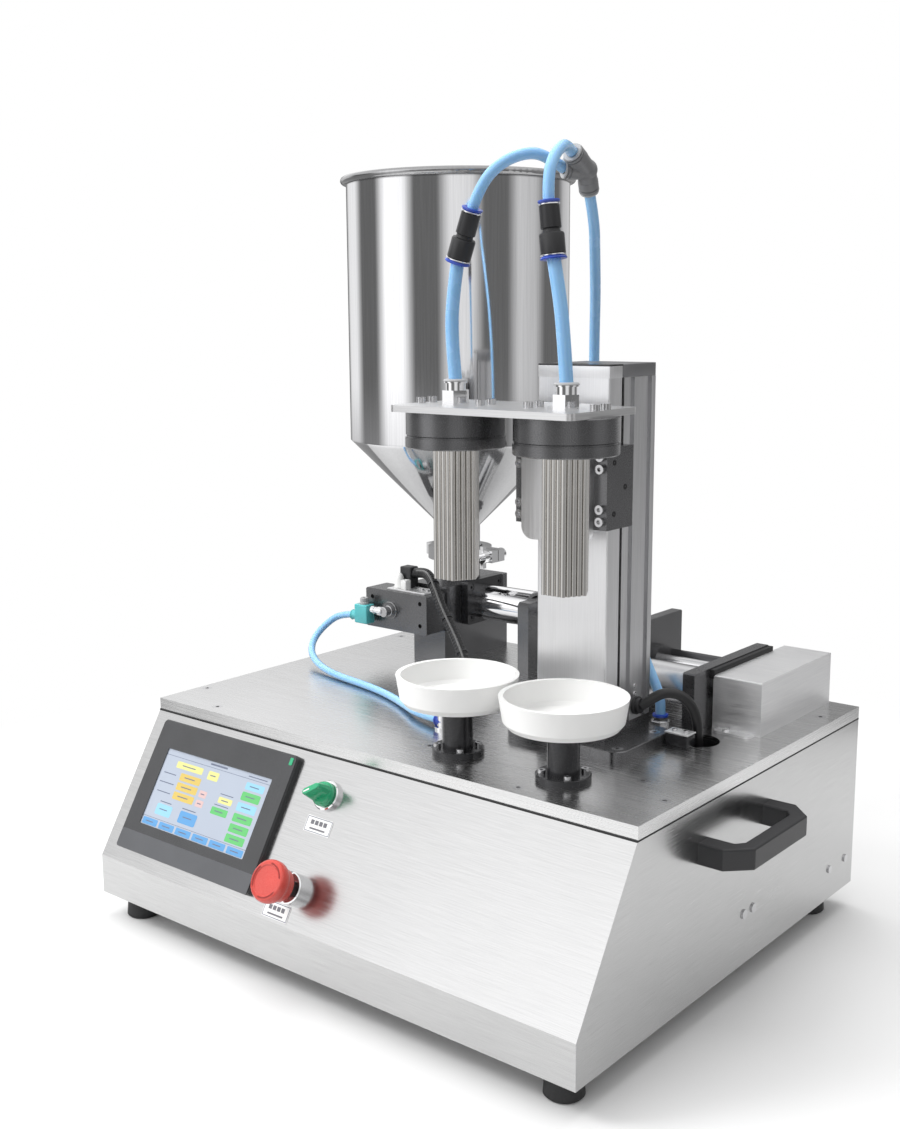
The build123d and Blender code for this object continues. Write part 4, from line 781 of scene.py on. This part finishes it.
def actuator_top():
    """Steel strip, white plug, white block and the black sensor plug on the actuator."""
    top = ACTUATOR_HIGH.z
    strip_low = Vector((-0.214, place(0, 0.270, 0).y, top))
    block_piece("plug_strip", strip_low, strip_low + Vector((0.058, 0.026, 0.0022)), STEEL_BOX,
                0.0004)
    cone = [(0, 0), (6.4, 0), (6.8, 1.2), (6.2, 3.0), (5.2, 9.0), (4.6, 13.0), (3.4, 15.6), (1.8, 16.8),
            (0, 17.0)]
    turned_piece("white_plug", cone, towards(Vector((-0.2035, place(0, 0.281, 0).y, top + 0.0022)),
                                             (0, 0, 1)),
                 WHITE_PLASTIC, "frame")
    wedge_low = Vector((-0.1945, place(0, 0.272, 0).y, top + 0.0022))
    block_piece("white_block", wedge_low, wedge_low + Vector((0.008, 0.009, 0.011)), WHITE_PLASTIC)
    exit_point = place(-0.190, 0.292, 0.322)
    sleeve_low = Vector((-0.207, exit_point.y - 0.0072, top + 0.0022))
    block_piece("sensor_plug", sleeve_low, Vector((exit_point.x, exit_point.y + 0.0072,
                                                   exit_point.z + 0.0075)),
                BLACK_PLASTIC, 0.0016, replaces="air_fittings")
    for k, x in enumerate((-0.170, -0.162)):
        screw_head(f"strip_screw_{k}", towards(Vector((x, strip_low.y + 0.013, top + 0.0022)), (0, 0, 1)),
                   0.0026, 0.0018)


def deck_fittings():
    """Elbow of the air hose, bulkhead union of the supply hose and the cable gland on the column."""
    elbow = place(0.010, 0.104, TOP)
    foot = [(0, 0), (8.6, 0), (8.6, 2.6), (6.0, 3.2), (6.0, 14.6), (5.0, 16.0), (0, 16.0)]
    turned_piece("air_elbow", foot, towards(elbow, (0, 0, 1)), CHROME, "frame", "air_fittings", 24)
    arm = [(4.1, -0.4), (6.0, -0.2), (6.4, 0.8), (5.6, 2.4), (6.0, 3.0), (6.0, 9.0), (4.1, 9.0), (4.1, -0.4)]
    turned_piece("air_elbow_collar", arm, towards(place(0.002, 0.104, 0.225), (1, 0, 0)), BLUE_RING, "frame")
    base = place(0.176, 0.240, TOP)
    nut = [(0, 0), (9.6, 0), (10.0, 0.6), (10.0, 7.2), (9.4, 8.0), (7.4, 8.4), (7.4, 11.6), (0, 11.6)]
    turned_piece("supply_bulkhead", nut, towards(base, (0, 0, 1)), STEEL, "frame", "air_fittings", 6)
    collar = [(5.1, 11.6), (7.6, 11.6), (8.0, 12.4), (7.6, 14.0), (5.1, 14.4), (5.1, 11.6)]
    turned_piece("supply_collar", collar, towards(base, (0, 0, 1)), BLUE_RING, "frame")
    start = place(0.184, 0.190, 0.252)
    gland = [(0, -6.6), (8.4, -6.6), (8.8, -6.0), (8.8, -3.4), (7.8, -3.0), (7.2, 0.2), (5.1, 0.8), (0, 0.8)]
    turned_piece("drive_gland", gland, towards(start, (1, 0, 0)), BLACK_PLASTIC, "frame",
                 "air_fittings")


def cable_clamp():
    """Black block with a steel strap and two screws beside the column's foot."""
    low = place(0.2075, 0.196, TOP)
    high = low + Vector((0.024, 0.015, 0.012))
    block_piece("clamp_block", low, high, BLACK_METAL, 0.0008)
    block_piece("clamp_strap", Vector((low.x - 0.0005, low.y - 0.0005, high.z)),
                Vector((high.x + 0.0005, high.y + 0.0005, high.z + 0.0015)), STEEL_BOX, 0.0003)
    for k, dx in enumerate((0.006, 0.018)):
        at = towards(Vector((low.x + dx, (low.y + high.y) / 2, high.z + 0.0015)), (0, 0, 1))
        screw_head(f"clamp_screw_{k}", at, 0.0027, 0.0018)


flow_valve()
actuator_top()
deck_fittings()
cable_clamp()


# ------------------------------------------------------------------ wrapped bundle
def wrapped_bundle():
    """Ribbed black sleeve along the bundle's route, with a thin lead tied along it."""
    line = centre_line(route(BUNDLE), 30)
    bm = bmesh.new()
    walked = [0.0]
    for a, b in zip(line, line[1:]):
        walked.append(walked[-1] + (b - a).length)
    rib = 0.0042
    tube_along(bm, line, BUNDLE_D / 2, 24,
               lambda i: BUNDLE_D / 2 * (0.95 + 0.05 * math.cos(2 * math.pi * walked[i] / rib)))
    sleeve = finish_mesh("cable_bundle_sleeve", bm, CABLE, "frame", "cable_bundle",
                         angle=TUBE_ANGLE)
    lead = [p + Vector((0.0035, -0.0058, 0.0036)) for p in line[6:-26]]
    bm = bmesh.new()
    tube_along(bm, lead, 0.0013, 10)
    lead_piece = finish_mesh("bundle_lead", bm, CABLE_GREY, "frame", angle=TUBE_ANGLE)
    for k, share in enumerate((0.22, 0.46, 0.70)):
        i = int(share * len(line))
        tie = [(5.4, -1.1), (6.7, -1.1), (6.9, 0), (6.7, 1.1), (5.4, 1.1), (5.4, -1.1)]
        turned_piece(f"bundle_tie_{k}", tie, aim(line[i], line[i + 1]), BLACK_PLASTIC, "frame",
                                 steps=32)


wrapped_bundle()


# ------------------------------------------------------------------ edges, seams and small hardware
EDGES = {
    "cabinet_shell": 0.0009, "deck_plate": 0.0006, "head_plate": 0.0006, "column_plate": 0.0006,
    "column_profile": 0.0004, "column_cover": 0.0006, "carriage": 0.0005,
    "carriage_bracket": 0.0006, "valve_actuator": 0.0005, "support_block": 0.0008, "flange_plate": 0.0006,
    "saddle_plate": 0.0007, "crosshead": 0.0007, "drive_plate": 0.0007, "belt_cover": 0.0007,
    "valve_body": 0.0006, "handles": 0.0006, "hmi_bezel": 0.0004, "table_flanges": 0.0003,
}
for name, width in EDGES.items():
    soften(nodes[name], width)


def deck_seal():
    """Dark strip in the joint between the deck plate and the cabinet."""
    half = SHELL_HIGH.x + 0.0002
    front, back = FRONT - 0.0011, DECK_HIGH.y + 0.0002
    centre = Matrix.Translation((0, (front + back) / 2, 0))
    frame_piece("deck_seal", centre, ring_points(2 * half, back - front, 0.0004),
                ring_points(2 * half - 0.006, back - front - 0.006, 0.0004), UNDER - 0.0014, UNDER + 0.0001,
                RUBBER_AND_HOLE_SHADE, "frame")


def column_dots():
    """Row of small screws low on the column's side, and dark rings as painted shade in the holes of the
    carriage's side plate.
    """
    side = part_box("column_profile")[1].x
    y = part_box("column_profile")[0].y + 0.027
    for k in range(4):
        screw_head(f"column_screw_{k}", towards(Vector((side, y, TOP + 0.032 + 0.0075 * k)), (1, 0, 0)),
                   0.0021, 0.0008)
    low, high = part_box("carriage")
    # Painted shade: dark rings in the black rubber finish stand for the shadow inside the holes.
    hole = [(1.0, 0.05), (2.6, 0.05), (2.6, 0.25), (1.9, 0.25), (1.6, 0.05), (1.0, 0.05)]
    for k, (dy, dz) in enumerate(((0.012, 0.014), (0.012, 0.060), (0.030, 0.037))):
        at = towards(Vector((high.x, low.y + dy, low.z + dz)), (1, 0, 0))
        turned_piece(f"carriage_hole_shade_{k}", hole, at, RUBBER_AND_HOLE_SHADE, "head", steps=24)


def drive_gasket():
    """Dark strip between the drive plate and the belt cover."""
    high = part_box("drive_plate")[1]
    block_piece("drive_gasket", Vector((high.x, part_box("belt_cover")[0].y + 0.012, high.z - 0.010)),
                Vector((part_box("belt_cover")[0].x + 0.0012, high.y, high.z - 0.001)), RUBBER_AND_HOLE_SHADE,
                0.0004)


def column_top():
    """The column's end block, and in front of it the cover carried up to a thin dark lid."""
    low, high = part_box("column_cap")
    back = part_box("column_profile")[0].y - 0.002
    lid = 0.0014
    block_piece("column_end", Vector((low.x, back + 0.0004, low.z)), high, CAP_GREY, 0.0006,
                replaces="column_cap")
    block_piece("cover_end", low + Vector((0, 0, -0.0002)), Vector((high.x, back - 0.0008, high.z - lid)),
                ALU_COVER, 0.0004)
    block_piece("cover_lid", Vector((low.x, low.y, high.z - lid)), Vector((high.x, back + 0.0004, high.z)),
                BLACK_METAL, 0.0003)


deck_seal()
column_top()
column_dots()
drive_gasket()


# ------------------------------------------------------------------ camera
def set_camera():
    """The photograph's view: place, heading, pitch and roll, and lens."""
    yaw, pitch, roll = 0.693, 0.182, -0.007
    forward = Vector((-math.sin(yaw) * math.cos(pitch), math.cos(yaw) * math.cos(pitch), -math.sin(pitch)))
    right = Vector((math.cos(yaw), math.sin(yaw), 0))
    up = right.cross(forward)
    across = math.cos(roll) * right + math.sin(roll) * up
    upright = -math.sin(roll) * right + math.cos(roll) * up
    cam = bpy.data.cameras.new("camera")
    cam.sensor_width = 36.0
    cam.lens = 43.33
    obj = bpy.data.objects.new("camera", cam)
    bpy.context.scene.collection.objects.link(obj)
    turn = Matrix((across, upright, -forward)).transposed()
    obj.matrix_world = Matrix.LocRotScale(place(0.8428, -0.8867, 0.6203), turn, None)
    bpy.context.scene.camera = obj


set_camera()


# ------------------------------------------------------------------ floor and light
def sky_bands(tree, around, stops):
    """A grey level that changes with the compass direction, from (degrees, level) stops."""
    return ramp(tree, spread(tree, around, 0.0, 1.0, -math.pi, math.pi),
                [((degrees + 180) / 360, (level, level, level * 1.005)) for degrees, level in stops], "EASE")


WHITE_LIGHT = (1, 1, 1, 1)
LOW_SKY = ((-180, 1.0), (-120, 1.3), (-60, 0.9), (0, 0.7), (60, 0.5), (120, 0.7), (180, 1.0))
HIGH_SKY = ((-180, 1.1), (-150, 1.1), (-120, 1.9), (-90, 1.3), (-45, 0.6), (60, 0.5), (110, 0.2), (140, 1.3),
            (180, 1.1))
GROUND = ((-180, 0.35), (-150, 0.35), (-120, 0.85), (-60, 0.25), (0, 0.3), (60, 0.4), (120, 0.4), (180, 0.35))
CARD_COUNT, CARD_LEVEL = 5, 0.15                    # dark cards, evenly spaced round the machine
CARD_PHASE = CARD_COUNT * math.radians(120)         # puts a gap between two cards at -120 degrees


def studio_world():
    """Bright studio with a ring of tall dark cards that show in the metal; white where it is seen itself."""
    world = bpy.data.worlds.new("studio")
    bpy.context.scene.world = world
    world.use_nodes = True
    tree = world.node_tree
    split = node(tree, "SeparateXYZ", (0, node(tree, "TexCoord").outputs["Generated"]))
    across, along, height = (split.outputs[axis] for axis in "XYZ")
    around = node(tree, "Math", (0, along), (1, across), operation="ARCTAN2").outputs[0]
    walls, high, ground = (sky_bands(tree, around, stops) for stops in (LOW_SKY, HIGH_SKY, GROUND))
    turns = node(tree, "Math", (0, around), (1, CARD_COUNT), (2, CARD_PHASE),
                 operation="MULTIPLY_ADD").outputs[0]
    gap = spread(tree, node(tree, "Math", (0, turns), operation="COSINE").outputs[0], 0.0, 1.0, -0.5, 0.6)
    low = mixed(tree, gap, (CARD_LEVEL, CARD_LEVEL, CARD_LEVEL, 1), walls)
    sky = mixed(tree, spread(tree, height, 0.0, 1.0, 0.14, 0.30), low, high)
    sky = mixed(tree, spread(tree, height, 0.0, 1.0, 0.45, 0.75), sky, (1.05, 1.05, 1.05, 1))
    sky = mixed(tree, spread(tree, height, 0.0, 1.0, -0.05, -0.14), sky, ground)
    seen = node(tree, "LightPath").outputs["Is Camera Ray"]
    feed(tree, tree.nodes["Background"], ("Color", mixed(tree, seen, sky, WHITE_LIGHT)), ("Strength", 1.0))


def softbox(name, location, target, width, height, watts):
    """A panel light that lights and casts shadows but isn't mirrored in the metal."""
    light = bpy.data.lights.new(name, "AREA")
    light.shape = "RECTANGLE"
    light.size, light.size_y = width, height
    light.energy = watts
    obj = bpy.data.objects.new(name, light)
    bpy.context.scene.collection.objects.link(obj)
    location, target = Vector(location), Vector(target)
    turn = (target - location).to_track_quat("-Z", "Y").to_matrix().to_4x4()
    obj.matrix_world = Matrix.Translation(location) @ turn
    obj.visible_glossy = False


FLOOR_FADE, FLOOR_EDGE = 0.62, 1.0


def white_floor():
    """A white sheet that takes shadows near the machine and fades to plain white far off."""
    bm = bmesh.new()
    bmesh.ops.create_circle(bm, cap_ends=True, segments=96, radius=FLOOR_EDGE,
                            matrix=Matrix.Translation((0, 0, -0.0003)))
    m, tree, bsdf = new_material("floor")
    feed(tree, bsdf, ("Base Color", (0.70, 0.70, 0.70, 1)), ("Roughness", 0.7))
    glow = node(tree, "Emission", ("Color", WHITE_LIGHT), ("Strength", 1.0)).outputs[0]
    here = node(tree, "TexCoord").outputs["Object"]
    far = node(tree, "VectorMath", (0, here), operation="LENGTH").outputs["Value"]
    white = node(tree, "MixShader", (0, spread(tree, far, 0.0, 1.0, FLOOR_FADE, FLOOR_EDGE - 0.02)),
                 (1, bsdf.outputs[0]), (2, glow)).outputs[0]
    feed(tree, tree.nodes["Material Output"], ("Surface", white))
    finish_mesh("floor", bm, m, None, smooth=False)


white_floor()
studio_world()
softbox("key", (-1.7, -1.5, 2.2), (0, 0, 0.2), 1.2, 1.2, 62)
softbox("top", (-0.2, 0.4, 2.6), (0, 0, 0.2), 2.0, 2.0, 45)
bpy.context.scene.view_settings.view_transform = "Standard"
